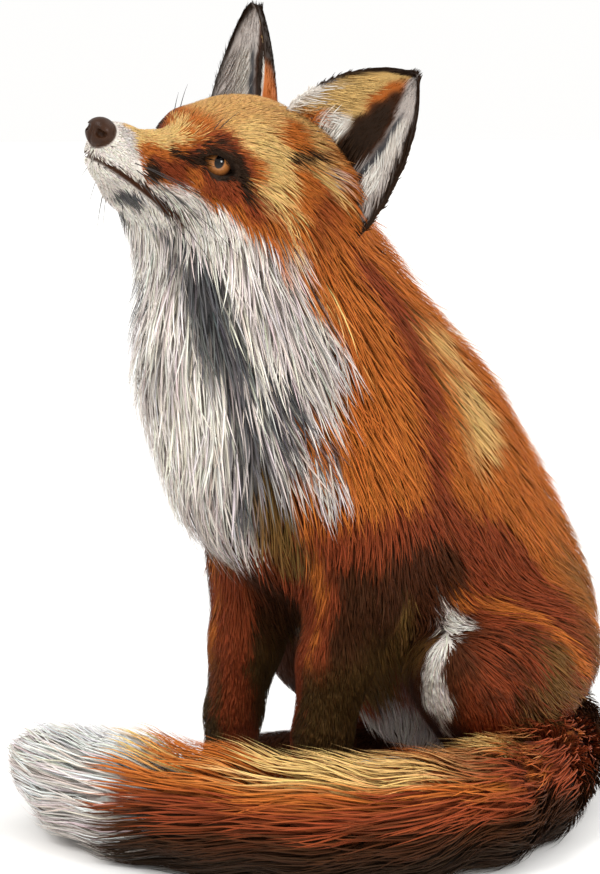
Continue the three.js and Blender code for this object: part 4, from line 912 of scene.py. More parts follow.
skin_finish, shader, node, link = new_material("short_coat", 0.75)
stain = node("ShaderNodeAttribute", attribute_name="stain")
place = node("ShaderNodeTexCoord")
nap = node("ShaderNodeTexNoise", Scale=700.0, Detail=3.0)
tone = node("ShaderNodeMix", data_type="RGBA", blend_type="MULTIPLY", Factor=0.5)
light_and_dark = node("ShaderNodeMapRange")
light_and_dark.inputs["To Min"].default_value = 0.55
light_and_dark.inputs["To Max"].default_value = 1.25
bump = node("ShaderNodeBump", Strength=0.5, Distance=0.0006)
link(place.outputs["Object"], nap.inputs["Vector"])
link(nap.outputs["Fac"], light_and_dark.inputs["Value"])
link(stain.outputs["Color"], tone.inputs["A"])
link(light_and_dark.outputs["Result"], tone.inputs["B"])
link(tone.outputs["Result"], shader.inputs["Base Color"])
link(nap.outputs["Fac"], bump.inputs["Height"])
link(bump.outputs["Normal"], shader.inputs["Normal"])
shader.inputs["Specular IOR Level"].default_value = 0.15
shader.inputs["Sheen Weight"].default_value = 0.05
skin_mesh.materials.append(skin_finish)
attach(skin, "root")
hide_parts("head", "lower_jaw", "neck", "chest", "loin", *[f"tail_{i}" for i in range(1, 6)],
            *[f"{part}_{side}" for part in ("foreleg", "forepaw", "thigh", "hindfoot") for side in ("left", "right")])

# ---------------------------------------------------------------- eyes
# Amber eyes with an upright pupil, wet and smooth, set in their sockets behind the lids.
# Each is one ball with a low cornea; the gaze is turned a little up.
def eyeball(side):
    centre, along, up, out = eye_axes(side)
    rings, spokes = 36, 56
    theta = np.linspace(0, math.pi, rings + 1)[1:-1]
    phi = np.linspace(0, 2 * math.pi, spokes, endpoint=False)
    places = [[0.0, 0.0, 1.0]]
    for t in theta:
        places += [[math.sin(t) * math.cos(f), math.sin(t) * math.sin(f), math.cos(t)] for f in phi]
    places.append([0.0, 0.0, -1.0])
    places = np.array(places)
    bulge = 0.9 * np.exp(-(np.arccos(np.clip(places @ [0, 0.2, 0.98], -1, 1)) / 0.55) ** 2)
    local = places * (EYE_RADIUS - 0.1 + bulge)[:, None]
    points = centre + local[:, :1] * along + local[:, 1:2] * up + local[:, 2:] * out
    faces = []
    last = len(places) - 1
    for j in range(spokes):
        k = (j + 1) % spokes
        faces.append([0, 1 + j, 1 + k])
        for i in range(len(theta) - 1):
            a, b = 1 + i * spokes, 1 + (i + 1) * spokes
            faces += [[a + j, b + j, b + k], [a + j, b + k, a + k]]
        a = 1 + (len(theta) - 1) * spokes
        faces.append([a + j, last, a + k])
    faces = np.array(faces)
    if side < 0:                                # the right eye is a mirror image
        faces = faces[:, ::-1]
    piece = mesh_object("eye_ball_left" if side > 0 else "eye_ball_right", points, faces)
    layer = piece.data.uv_layers.new(name="gaze")
    layer.data.foreach_set("uv", local[faces.ravel(), :2].astype(np.float32).ravel())
    return piece


def iris_finish():
    made, shader, node, link = new_material("eye_amber", 0.04)
    gaze = node("ShaderNodeUVMap", uv_map="gaze")
    centred = node("ShaderNodeVectorMath", operation="SUBTRACT")
    centred.inputs[1].default_value = (-0.4, 2.2, 0.0)
    link(gaze.outputs["UV"], centred.inputs[0])
    far = node("ShaderNodeVectorMath", operation="LENGTH")
    link(centred.outputs["Vector"], far.inputs[0])
    squeeze = node("ShaderNodeVectorMath", operation="MULTIPLY")
    squeeze.inputs[1].default_value = (1.0, 0.72, 1.0)
    link(centred.outputs["Vector"], squeeze.inputs[0])
    slit = node("ShaderNodeVectorMath", operation="LENGTH")
    link(squeeze.outputs["Vector"], slit.inputs[0])
    parts = node("ShaderNodeSeparateXYZ")
    link(centred.outputs["Vector"], parts.inputs[0])
    angle = node("ShaderNodeMath", operation="ARCTAN2")
    link(parts.outputs["Y"], angle.inputs[0])
    link(parts.outputs["X"], angle.inputs[1])
    spokes = node("ShaderNodeCombineXYZ")
    link(angle.outputs["Value"], spokes.inputs["X"])
    scaled = node("ShaderNodeMath", operation="MULTIPLY")
    scaled.inputs[1].default_value = 0.12
    link(far.outputs["Value"], scaled.inputs[0])
    link(scaled.outputs["Value"], spokes.inputs["Y"])
    fibres = node("ShaderNodeTexNoise", Scale=5.5, Detail=4.0)
    link(spokes.outputs["Vector"], fibres.inputs["Vector"])
    rings = node("ShaderNodeValToRGB")
    stops = [(0.0, colour(96, 58, 30)), (0.35, colour(172, 112, 60)), (0.75, colour(142, 86, 42)), (1.0, colour(62, 34, 16))]
    ramp = rings.color_ramp
    while len(ramp.elements) < len(stops):
        ramp.elements.new(0.5)
    for element, (where, tint) in zip(ramp.elements, stops):
        element.position, element.color = where, tint
    reach = node("ShaderNodeMapRange")
    reach.inputs["From Min"].default_value = 1.5
    reach.inputs["From Max"].default_value = 8.0
    link(far.outputs["Value"], reach.inputs["Value"])
    link(reach.outputs["Result"], rings.inputs["Fac"])
    flecked = node("ShaderNodeMix", data_type="RGBA", blend_type="MULTIPLY", Factor=0.8)
    light = node("ShaderNodeMapRange")
    light.inputs["To Min"].default_value = 0.45
    light.inputs["To Max"].default_value = 1.6
    link(fibres.outputs["Fac"], light.inputs["Value"])
    link(rings.outputs["Color"], flecked.inputs["A"])
    link(light.outputs["Result"], flecked.inputs["B"])

    def darken(source, measure, inner, outer, tint):
        edge = node("ShaderNodeMapRange", interpolation_type="SMOOTHSTEP")
        edge.inputs["From Min"].default_value = inner
        edge.inputs["From Max"].default_value = outer
        link(measure, edge.inputs["Value"])
        mix = node("ShaderNodeMix", data_type="RGBA", B=tint)
        link(edge.outputs["Result"], mix.inputs["Factor"])
        link(source, mix.inputs["A"])
        return mix.outputs["Result"]

    # painted shadow of the upper lid over the top of the iris
    whole = darken(flecked.outputs["Result"], parts.outputs["Y"], -1.0, 5.0, colour(46, 26, 14))
    whole = darken(whole, far.outputs["Value"], 7.6, 8.6, colour(34, 20, 12))
    whole = darken(whole, slit.outputs["Value"], 3.1, 2.5, colour(6, 4, 4))
    link(whole, shader.inputs["Base Color"])
    shader.inputs["Specular IOR Level"].default_value = 0.0
    shader.inputs["Coat Weight"].default_value = 1.0
    shader.inputs["Coat Roughness"].default_value = 0.02
    shader.inputs["Coat IOR"].default_value = 1.38
    return made


amber = iris_finish()
for side, cad_eye in ((1, "eye_left"), (-1, "eye_right")):
    ball = eyeball(side)
    ball.data.materials.append(amber)
    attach(ball, "root")
    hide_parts(cad_eye)

# ---------------------------------------------------------------- nose
# The bare nose pad: dark, damp, pebbled skin, with a comma-shaped nostril in each side
# and a groove down its middle. It sits on the end of the muzzle.
nose_block = blend(4, egg([79.2, 0, -10.4], [7.8, 7.6, 5.9]), egg([81, 0, -14.8], [5.6, 7.2, 7.2]),
                   both_cheeks(egg([80.2, 4.6, -13.4], [5.2, 4.3, 4.7])))
nostril = both_cheeks(chain(2, [88, 3.6, -13.2, 1.7], [84.4, 5.3, -14, 1.8], [83.4, 8.2, -13.2, 1.2]))


def nose_field(p):
    h = p.astype(np.float32)
    block, hole = nose_block(h), nostril(h)
    k = 1.2
    mixed = np.maximum(k - np.abs(block + hole), 0) / k
    carved = np.maximum(block, -hole) + mixed * mixed * k / 4
    groove = 0.7 * np.exp(-(h[:, 1] / 0.9) ** 2) * soft(4, -12 - h[:, 2])
    return carved + groove


NOSE_CELL = 0.55
nose_low, nose_steps = np.array([66.0, -12.0, -27.0]), np.array([46, 44, 50])
axes = [nose_low[i] + NOSE_CELL * np.arange(nose_steps[i]) for i in range(3)]
lattice = np.stack(np.meshgrid(*axes, indexing="ij"), -1).reshape(-1, 3)
nose_points, nose_faces = surface_net(nose_field(lattice).reshape(nose_steps), nose_low, NOSE_CELL)
nose_points = settle(nose_field, nose_points, 0.4)
nose = mesh_object("nose", from_head(nose_points), nose_faces)
nose_skin, shader, node, link = new_material("damp_nose_skin", 0.42)
place = node("ShaderNodeTexCoord")
pebbles = node("ShaderNodeTexVoronoi", Scale=1500.0, feature="SMOOTH_F1")
dust = node("ShaderNodeTexNoise", Scale=300.0, Detail=3.0)
tint = node("ShaderNodeMix", data_type="RGBA", A=colour(36, 20, 11), B=colour(64, 38, 22))
bump = node("ShaderNodeBump", Strength=0.35, Distance=0.0003)
link(place.outputs["Object"], pebbles.inputs["Vector"])
link(place.outputs["Object"], dust.inputs["Vector"])
link(dust.outputs["Fac"], tint.inputs["Factor"])
link(tint.outputs["Result"], shader.inputs["Base Color"])
link(pebbles.outputs["Distance"], bump.inputs["Height"])
link(bump.outputs["Normal"], shader.inputs["Normal"])
shader.inputs["Specular IOR Level"].default_value = 0.12
shader.inputs["Coat Weight"].default_value = 0.06
shader.inputs["Coat Roughness"].default_value = 0.25
nose.data.materials.append(nose_skin)
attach(nose, "root")
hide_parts("nose_pad")

# ---------------------------------------------------------------- ears
# Each ear is a thin upright cup of gristle under skin, narrow at the tip, its root sunk
# in the head. The back is black, the rim edged in black, and the cup is lined with white.
EAR_BASE = np.array([-65.0, 42.0, 25.0])
EAR_TIP = np.array([-63.0, 73.0, 101.0])
EAR_ACROSS = np.array([-39.5, 61.0, -48.0])
EAR_DEPTH, EAR_THICK, EAR_SUNK = 26.0, 3.2, 0.14
EAR_ROWS, EAR_COLUMNS = 44, 36

ear_along = EAR_TIP - EAR_BASE
ear_length = np.linalg.norm(ear_along)
ear_along /= ear_length
ear_width = np.linalg.norm(EAR_ACROSS)
ear_slant = EAR_ACROSS @ ear_along
ear_chord = EAR_ACROSS - ear_slant * ear_along
ear_chord /= np.linalg.norm(ear_chord)
ear_open = np.cross(ear_chord, ear_along)


def on_ear(u, v, lift):
    """Places on the left ear in the head's frame: u from root to tip, v across from -1 to 1,
    lift 0 on its back and 1 in its cup."""
    u, v, lift = [np.asarray(value, float).reshape(-1, 1) for value in (u, v, lift)]
    rise = np.clip(u, 0, 1)
    taper = 1 - rise
    half = 0.5 * ear_width * (1 - 0.999 * rise ** 1.8) ** 0.72
    bulge = EAR_DEPTH * (1 - v * v) * (0.25 + 0.75 * taper) * np.where(u > 0.9999, 0, 1)
    curl = 2.2 * np.exp(-((np.abs(v) - 1) / 0.12) ** 2) * (1 - rise) ** 0.3
    thick = EAR_THICK * (1 - 0.55 * v * v) * (1 - 0.5 * rise)
    return EAR_BASE + ear_along * (u * ear_length + 0.5 * ear_slant * v * taper) + ear_chord * half * v \
        + ear_open * (-bulge + curl + (lift - 0.5) * thick)


def ear_stain(u, v, lift, p, side):
    """Colours of the ear at those places: its black back, its rim, and its pale lining."""
    edge = (1 - np.abs(v)) * 0.5 * ear_width * (1 - 0.999 * np.clip(u, 0, 1) ** 1.8) ** 0.72
    u = u + 0.03 * wander(p, 5, 61)
    v = v + 0.03 * wander(p, 4, 63)
    inside = np.tile(CREAM, (len(u), 1))
    inside = lay(inside, TAN, soft(0.2, -0.2 - v) * soft(0.2, 1.1 * (u + 0.12)))
    inside = lay(inside, ORANGE, soft(0.12, 0.17 - np.hypot((u - 0.68) / 1.2, (v + 0.22) / 1.6)))
    inside = lay(inside, ORANGE, soft(0.12, 0.14 - np.hypot(u - 0.06, v + 0.7)))
    inside = lay(inside, WHITE, soft(0.1, 0.16 - np.hypot(u - 0.18, (v + 0.45) / 1.4)))
    inside = lay(inside, WHITE, soft(0.08, -0.88 - v) * soft(0.15, 0.5 - u))
    inside = lay(inside, WHITE, soft(0.16, 0.2 - np.abs(v - 0.55)) * soft(0.1, 0.7 - u))
    inside = lay(inside, GREY, soft(0.1, 0.07 - np.abs(v - 0.36)) * soft(0.15, 0.75 - u))
    inside = lay(inside, BROWN, soft(0.12, 0.3 - np.hypot((u - 0.38) / 1.5, v)))
    inside = lay(inside, BLACK, soft(0.12, 0.24 - np.hypot((u - 0.34) / 1.4, v)))
    outer = (5.5 if side > 0 else 2.0) - edge - 99 * (v < 0)
    upper = 2.2 + 5 * soft(0.3, u - 0.85) - edge - 20 * np.maximum(0.42 - u, 0) - 99 * (v > 0)
    inside = lay(inside, BLACK, soft(2, np.maximum(outer, upper)))
    back = np.tile(BLACK, (len(u), 1))
    back = lay(back, ORANGE, soft(0.3, 0.2 - u - 0.1 * np.cos(3 * v)))
    return np.where(lift[:, None] > 0.5, inside, back)


def ear(side):
    points, faces, stain = [], [], []
    stride = EAR_COLUMNS + 1
    count = (EAR_ROWS + 1) * stride
    i, j = np.meshgrid(np.arange(EAR_ROWS + 1), np.arange(stride), indexing="ij")
    u = (-EAR_SUNK + (1 + EAR_SUNK) * (i / EAR_ROWS) ** 0.85).ravel()
    v = (2 * j / EAR_COLUMNS - 1).ravel()
    flip = np.array([1, side, 1])
    for lift in (0, 1):
        local = on_ear(u, v, lift)
        points.append(from_head(local * flip))
        stain.append(ear_stain(u, v, np.full(len(u), lift), local, side))
    i, j = np.meshgrid(np.arange(EAR_ROWS), np.arange(EAR_COLUMNS), indexing="ij")
    a = (i * stride + j).ravel()
    faces.append(np.column_stack([a, a + stride, a + stride + 1, a + 1]))
    faces.append(count + np.column_stack([a, a + 1, a + stride + 1, a + stride]))
    left = np.arange(EAR_ROWS) * stride
    right = left + EAR_COLUMNS
    faces.append(np.column_stack([left, count + left, count + left + stride, left + stride]))
    faces.append(np.column_stack([right, right + stride, count + right + stride, count + right]))
    foot = np.arange(EAR_COLUMNS)
    top = EAR_ROWS * stride + foot
    faces.append(np.column_stack([foot, foot + 1, count + foot + 1, count + foot]))
    faces.append(np.column_stack([top, count + top, count + top + 1, top + 1]))
    faces = np.concatenate(faces)
    if side < 0:
        faces = faces[:, ::-1]
    name = "ear_cup_left" if side > 0 else "ear_cup_right"
    piece = mesh_object(name, np.concatenate(points), faces)
    paint(piece, np.concatenate(stain) * 0.8)
    piece.data.materials.append(skin_finish)
    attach(piece, "root")
    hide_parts("ear_left" if side > 0 else "ear_right")


ear(1)
ear(-1)

# ---------------------------------------------------------------- claws
# Each toe ends in one curved claw of dark horn, blunted on the ground. It grows out of the
# toe's tip above the sole, partly hidden by the hair of the toe.
def geometry_tree(name, inputs):
    """An empty Geometry Nodes tree with these named inputs, makers of nodes in it, and its ends."""
    tree = bpy.data.node_groups.new(name, "GeometryNodeTree")
    tree.interface.new_socket("Geometry", in_out="INPUT", socket_type="NodeSocketGeometry")
    tree.interface.new_socket("Geometry", in_out="OUTPUT", socket_type="NodeSocketGeometry")
    for title, (kind, value) in inputs.items():
        tree.interface.new_socket(title, in_out="INPUT", socket_type=kind).default_value = value

    def node(kind, **values):
        made = tree.nodes.new(kind)
        for key, value in values.items():
            setattr(made, key, value)
        return made

    def link(source, target):
        tree.links.new(source, target)

    return tree, node, link, node("NodeGroupInput"), node("NodeGroupOutput")


def grown_from(name, seeds, tree, values):
    """The plain mesh that a tree grows from a mesh of seeds, as a piece."""
    holder = bpy.data.objects.new(name, seeds)
    bpy.context.scene.collection.objects.link(holder)
    modifier = holder.modifiers.new(name, "NODES")
    modifier.node_group = tree
    for socket in tree.interface.items_tree:
        if socket.in_out == "INPUT" and socket.name in values:
            modifier[socket.identifier] = values[socket.name]
    depsgraph = bpy.context.evaluated_depsgraph_get()
    mesh = bpy.data.meshes.new_from_object(holder.evaluated_get(depsgraph), depsgraph=depsgraph)
    bpy.data.objects.remove(holder)
    bpy.data.meshes.remove(seeds)
    mesh.name = name
    piece = bpy.data.objects.new(name, mesh)
    bpy.context.scene.collection.objects.link(piece)
    return piece


def bristle_steps(node, link, given, curves):
    """Turns curves into rods that taper to their ends, closed, smooth."""
    share = node("GeometryNodeSplineParameter")
    taper = node("ShaderNodeMapRange")
    link(share.outputs["Factor"], taper.inputs["Value"])
    link(given.outputs["Thickness at Root"], taper.inputs["To Min"])
    link(given.outputs["Thickness at Tip"], taper.inputs["To Max"])
    ring = node("GeometryNodeCurvePrimitiveCircle")
    link(given.outputs["Sides"], ring.inputs["Resolution"])
    ring.inputs["Radius"].default_value = 0.5
    rod = node("GeometryNodeCurveToMesh")
    rod.inputs["Fill Caps"].default_value = True
    link(curves, rod.inputs["Curve"])
    link(ring.outputs["Curve"], rod.inputs["Profile Curve"])
    link(taper.outputs["Result"], rod.inputs["Scale"])
    return rod.outputs["Mesh"]


horn, shader, node, link = new_material("claw_horn", 0.38)
place = node("ShaderNodeTexCoord")
grain = node("ShaderNodeTexNoise", Scale=420.0, Detail=3.0)
tint = node("ShaderNodeMix", data_type="RGBA", A=colour(34, 26, 22), B=colour(92, 76, 62))
link(place.outputs["Object"], grain.inputs["Vector"])
link(grain.outputs["Fac"], tint.inputs["Factor"])
link(tint.outputs["Result"], shader.inputs["Base Color"])

tree, node, link, given, ready = geometry_tree("claw_on_each_toe", {
    "Root": ("NodeSocketVector", (0.0, -0.004, 0.003)), "Knuckle": ("NodeSocketVector", (0.0, -0.014, 0.005)),
    "Point": ("NodeSocketVector", (0.0, -0.018, -0.005)), "Sides": ("NodeSocketInt", 10),
    "Thickness at Root": ("NodeSocketFloat", 0.0036), "Thickness at Tip": ("NodeSocketFloat", 0.0008)})
arc = node("GeometryNodeCurveQuadraticBezier")
arc.inputs["Resolution"].default_value = 12
for title, socket in (("Root", "Start"), ("Knuckle", "Middle"), ("Point", "End")):
    link(given.outputs[title], arc.inputs[socket])
heading = node("GeometryNodeInputNamedAttribute", data_type="FLOAT")
heading.inputs["Name"].default_value = "heading"
swing = node("ShaderNodeCombineXYZ")
link(heading.outputs["Attribute"], swing.inputs["Z"])
spin = node("FunctionNodeEulerToRotation")
link(swing.outputs["Vector"], spin.inputs["Euler"])
copies = node("GeometryNodeInstanceOnPoints")
link(given.outputs["Geometry"], copies.inputs["Points"])
link(bristle_steps(node, link, given, arc.outputs["Curve"]), copies.inputs["Instance"])
link(spin.outputs["Rotation"], copies.inputs["Rotation"])
real = node("GeometryNodeRealizeInstances")
smooth = node("GeometryNodeSetShadeSmooth")
horned = node("GeometryNodeSetMaterial")
horned.inputs["Material"].default_value = horn
link(copies.outputs["Instances"], real.inputs["Geometry"])
link(real.outputs["Geometry"], smooth.inputs["Geometry"])
link(smooth.outputs["Geometry"], horned.inputs["Geometry"])
link(horned.outputs["Geometry"], ready.inputs["Geometry"])

for side, side_name in ((1, "left"), (-1, "right")):
    for foot, paw, toward, reach in (("fore", FOREPAWS[side], 0.0, 0.9), ("hind", HINDPAWS[side], side * 0.14, 1.0)):
        tips = []
        for i in TOES:
            ahead, out = 17 - 2.2 * i * i, i * TOE_SPREAD
            tips.append([paw[0] + out * math.cos(toward) + ahead * math.sin(toward),
                         paw[1] + out * math.sin(toward) - ahead * math.cos(toward), 8.5])
        seeds = bpy.data.meshes.new("toe_tips")
        seeds.from_pydata([tuple(tip) for tip in in_metres(tips)], [], [])
        turns = seeds.attributes.new("heading", "FLOAT", "POINT")
        turns.data.foreach_set("value", [toward + 0.05 * i for i in TOES])
        claws = grown_from(f"claws_{foot}_{side_name}", seeds, tree, {"Thickness at Root": 0.0036 * reach})
        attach(claws, "root")

# ---------------------------------------------------------------- whiskers
# Stiff dark hairs in rows on the whisker pads, two on each brow and one on the chin.
# Each is rooted in the skin, thick at its root and fine at its tip, and bends back.
whisker_horn, shader, node, link = new_material("whisker", 0.45)
shader.inputs["Base Color"].default_value = colour(36, 28, 24)
tree, node, link, given, ready = geometry_tree("whisker_along_each_line", {
    "Sides": ("NodeSocketInt", 5), "Thickness at Root": ("NodeSocketFloat", 0.0007),
    "Thickness at Tip": ("NodeSocketFloat", 0.00012)})
lines = node("GeometryNodeMeshToCurve")
link(given.outputs["Geometry"], lines.inputs["Mesh"])
real = node("GeometryNodeRealizeInstances")
smooth = node("GeometryNodeSetShadeSmooth")
dark = node("GeometryNodeSetMaterial")
dark.inputs["Material"].default_value = whisker_horn
link(bristle_steps(node, link, given, lines.outputs["Curve"]), real.inputs["Geometry"])
link(real.outputs["Geometry"], smooth.inputs["Geometry"])
link(smooth.outputs["Geometry"], dark.inputs["Geometry"])
link(dark.outputs["Geometry"], ready.inputs["Geometry"])

# root forward and up in the head, its way out, length
WHISKERS = [
    ([60, -20], [-0.35, 0.8, 0.1], 30), ([52, -20], [-0.5, 0.8, 0.12], 42), ([44, -21], [-0.6, 0.75, 0.05], 55),
    ([57, -23.5], [-0.4, 0.8, -0.15], 36), ([49, -24], [-0.55, 0.75, -0.12], 52), ([41, -25.5], [-0.65, 0.7, -0.15], 68),
    ([54, -27], [-0.45, 0.75, -0.35], 34), ([46, -28], [-0.6, 0.65, -0.4], 56), ([38, -29.5], [-0.7, 0.6, -0.35], 72),
    ([33, -27], [-0.75, 0.6, -0.3], 60), ([13, 15], [0.1, 0.3, 0.95], 15), ([9, 16], [-0.05, 0.35, 0.95], 18),
    ([48, -41], [-0.5, 0.25, -0.8], 22)]
rng = np.random.default_rng(3)
for side, side_name in ((1, "left"), (-1, "right")):
    points, edges = [], []
    for (ahead, height), way, length in WHISKERS:
        flip = np.array([1, side, 1])
        start = from_head(np.array([ahead, 6 if height < -35 else 17, height]) * flip)
        root = settle(skin_field, [start], 12, 8)[0]
        way = turned_from_head(np.array(way) * flip)
        way /= np.linalg.norm(way)
        length *= rng.uniform(0.9, 1.1)
        sag = turned_from_head(np.array([-0.35, -0.1, -0.5]) * flip) * length * 0.3
        first = len(points)
        for t in np.linspace(-0.02, 1, 14):
            points.append(root + way * length * t + sag * t * t)
        edges += [(first + i, first + i + 1) for i in range(13)]
    seeds = bpy.data.meshes.new("whisker_lines")
    seeds.from_pydata([tuple(p) for p in in_metres(points)], edges, [])
    whiskers = grown_from(f"whiskers_{side_name}", seeds, tree, {"Sides": 5})
    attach(whiskers, "root")

# ---------------------------------------------------------------- coat
# The coat is thousands of thin tufts of hair, each a flat strip that tapers to a point.
# It grows out of the skin, lies along the body and ends at the coat's own outline.
fur, shader, node, link = new_material("fox_fur", 0.62)
stain = node("ShaderNodeAttribute", attribute_name="stain")
strand_map = node("ShaderNodeUVMap", uv_map="strands")
stretch = node("ShaderNodeMapping")
stretch.inputs["Scale"].default_value = (1.0, 0.035, 1.0)
hairs = node("ShaderNodeTexNoise", Scale=2.6, Detail=3.0, Roughness=0.6)
tone = node("ShaderNodeMix", data_type="RGBA", blend_type="MULTIPLY", Factor=1.0)
light_and_dark = node("ShaderNodeMapRange")
light_and_dark.inputs["From Min"].default_value = 0.25
light_and_dark.inputs["From Max"].default_value = 0.75
light_and_dark.inputs["To Min"].default_value = 0.76
light_and_dark.inputs["To Max"].default_value = 1.2
bump = node("ShaderNodeBump", Strength=0.6, Distance=0.0005)
link(strand_map.outputs["UV"], stretch.inputs["Vector"])
link(stretch.outputs["Vector"], hairs.inputs["Vector"])
link(hairs.outputs["Fac"], light_and_dark.inputs["Value"])
link(stain.outputs["Color"], tone.inputs["A"])
link(light_and_dark.outputs["Result"], tone.inputs["B"])
link(tone.outputs["Result"], shader.inputs["Base Color"])
link(hairs.outputs["Fac"], bump.inputs["Height"])
link(bump.outputs["Normal"], shader.inputs["Normal"])
shader.inputs["Specular IOR Level"].default_value = 0.1
PATCH = 0.0015                                  # half of a tuft's patch on the unwrapped skin


def coat_piece(name, paths, tops, widths, thick, roots, tips, unwrapped, rng):
    """One mesh of tufts. paths: tuft, ring, xyz with the tip last; tops: which way each
    ring's ridge faces; widths: half widths at each ring but the tip."""
    n, rings = len(paths), paths.shape[1] - 1
    run = np.gradient(paths, axis=1)[:, :rings]
    side = np.cross(tops[:, :rings], run)
    side /= np.maximum(np.linalg.norm(side, axis=2, keepdims=True), 1e-9)
    across_ = side * widths[:, :, None]
    ridge = tops[:, :rings] * (thick * widths)[:, :, None]
    verts = np.empty((n, 3 * rings + 1, 3))
    verts[:, 0:3 * rings:3] = paths[:, :rings] + across_
    verts[:, 1:3 * rings:3] = paths[:, :rings] + ridge
    verts[:, 2:3 * rings:3] = paths[:, :rings] - across_
    verts[:, -1] = paths[:, -1]
    verts[:, :, 2] = np.maximum(verts[:, :, 2], 0.5 + 0.4 * rng.random((n, 1)))
    pattern = [[2, 1, 0]]
    for k in range(rings - 1):
        for i in range(3):
            j = (i + 1) % 3
            a, b = 3 * k + i, 3 * k + j
            pattern += [[a, b, b + 3], [a, b + 3, a + 3]]
    k = 3 * (rings - 1)
    pattern += [[k, k + 1, 3 * rings], [k + 1, k + 2, 3 * rings], [k + 2, k, 3 * rings]]
    pattern = np.array(pattern)
    per = 3 * rings + 1
    faces = (np.arange(n)[:, None, None] * per + pattern[None]).reshape(-1, 3)
    piece = mesh_object(name, verts.reshape(-1, 3), faces)
    share = np.append(np.repeat(np.arange(rings) / rings, 3), 1.0)
    stains = roots[:, None] * (1 - share)[None, :, None] + tips[:, None] * share[None, :, None]
    paint(piece, stains.reshape(-1, 3))
    sign = np.append(np.tile([1.0, 0.0, -1.0], rings), 0.0)
    flat = np.empty((n, per, 2))
    flat[:, :, 0] = unwrapped[:, None, 0] + PATCH * sign
    flat[:, :, 1] = unwrapped[:, None, 1] + PATCH * (2 * share - 1)
    strands = np.empty((n, per, 2))
    reach = np.linalg.norm(paths[:, -1] - paths[:, 0], axis=1)
    full = np.repeat(widths, 3, axis=1)
    strands[:, :, 0] = rng.random((n, 1)) * 900 + sign * np.column_stack([full, np.zeros(n)])
    strands[:, :, 1] = rng.random((n, 1)) * 900 + share * reach[:, None]
    order = faces.ravel()
    for title, values in (("OFBake", flat), ("strands", strands)):
        layer = piece.data.uv_layers.new(name=title)
        layer.data.foreach_set("uv", values.reshape(-1, 2)[order].astype(np.float32).ravel())
    piece.data.materials.append(fur)
    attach(piece, "root")


def unwrap(p, knot, turn, on_tail):
    """Where skin lies when it is laid out flat: head, trunk, each leg and tail in their own fields."""
    h = to_head(p)
    u = 0.02 + 0.44 * (np.arctan2(h[:, 1], h[:, 2]) / (2 * math.pi) + 0.5)
    v = 0.52 + 0.4 * np.clip((h[:, 0] + 110) / 200, 0, 1)
    flat = np.column_stack([u, v])
    low = np.linalg.norm(h - [-6, 0, -6], axis=1) > 92
    x, y, z = p.T
    turned = np.arctan2(x, -y - 10) / (2 * math.pi) + 0.5
    flat[low] = np.column_stack([0.02 + 0.46 * turned, 0.02 + 0.45 * np.clip(z / 430, 0, 1)])[low]
    for side in (1, -1):
        for part, (px, py) in ((0, FOREPAWS[side]), (1, HINDPAWS[side])):
            leg = (z < (140 if part == 0 else 60)) & (x * side > 0) & ((y < -60) if part == 0 else (y > -90))
            leg &= (np.hypot(x - px, y - py - 12) < 42) if part == 0 else (np.hypot((x - px) / 1.2, (y - py - 50) / 2.2) < 36)
            swing = np.arctan2(x - px, y - py - 12) / (2 * math.pi) + 0.5
            start = 0.52 + 0.12 * (2 * part + (side < 0))
            flat[leg] = np.column_stack([start + 0.1 * swing, 0.02 + 0.3 * np.clip(z / 140, 0, 1)])[leg]
    flat[on_tail] = np.column_stack([0.52 + 0.44 * (turn + 0.5), 0.42 + 0.54 * knot / 12])[on_tail]
    return flat


def turned(vectors, axes, angles):
    """Vectors turned about unit axes square to them."""
    return vectors * np.cos(angles)[:, None] + np.cross(axes, vectors) * np.sin(angles)[:, None]


# Roots are drawn on the skin's triangles, closer where the hair is shorter.
skin_mesh.calc_loop_triangles()
corners = np.empty(len(skin_mesh.loop_triangles) * 3, np.int32)
skin_mesh.loop_triangles.foreach_get("vertices", corners)
corners = corners.reshape(-1, 3)
tri = skin_at[corners]
tri_normal = np.cross(tri[:, 1] - tri[:, 0], tri[:, 2] - tri[:, 0])
tri_area = np.linalg.norm(tri_normal, axis=1) / 2
tri_normal /= np.maximum(2 * tri_area, 1e-9)[:, None]
middle = tri.mean(axis=1)
tri_tail = skin_on_tail[corners].sum(axis=1) >= 2
tri_length = combed(middle)[1]
TAIL_HAIR = np.array([[0, 30], [2, 42], [4, 54], [8, 62], [10, 60], [12, 34]], float)   # knot, hair length
tri_knot, _ = tail_place(middle)
tri_length = np.where(tri_tail, np.interp(tri_knot, *TAIL_HAIR.T), tri_length)


def tuft_width(length):
    return 0.42 + 0.019 * length


def bare(p):
    """Skin without hair: between the lids, on the lips and under the nose."""
    h = to_head(p)
    a, b, c = h[:, 0], np.abs(h[:, 1]), h[:, 2]
    u, v = eye_plane(p)
    eye = (almond(u, v) < 1.3) & (np.linalg.norm(both_eyes(p), axis=1) < 17)
    off, _ = off_line(a, c, MOUTH)
    mouth = (off < 1.5) & (a > 16) & (a < 100) & (b < 40)
    under_nose = np.zeros(len(p), bool)
    near = a > 60
    under_nose[near] = nose_block(h[near].astype(np.float32)) < 0.1
    return eye | mouth | under_nose | (p[:, 2] < 0.5)


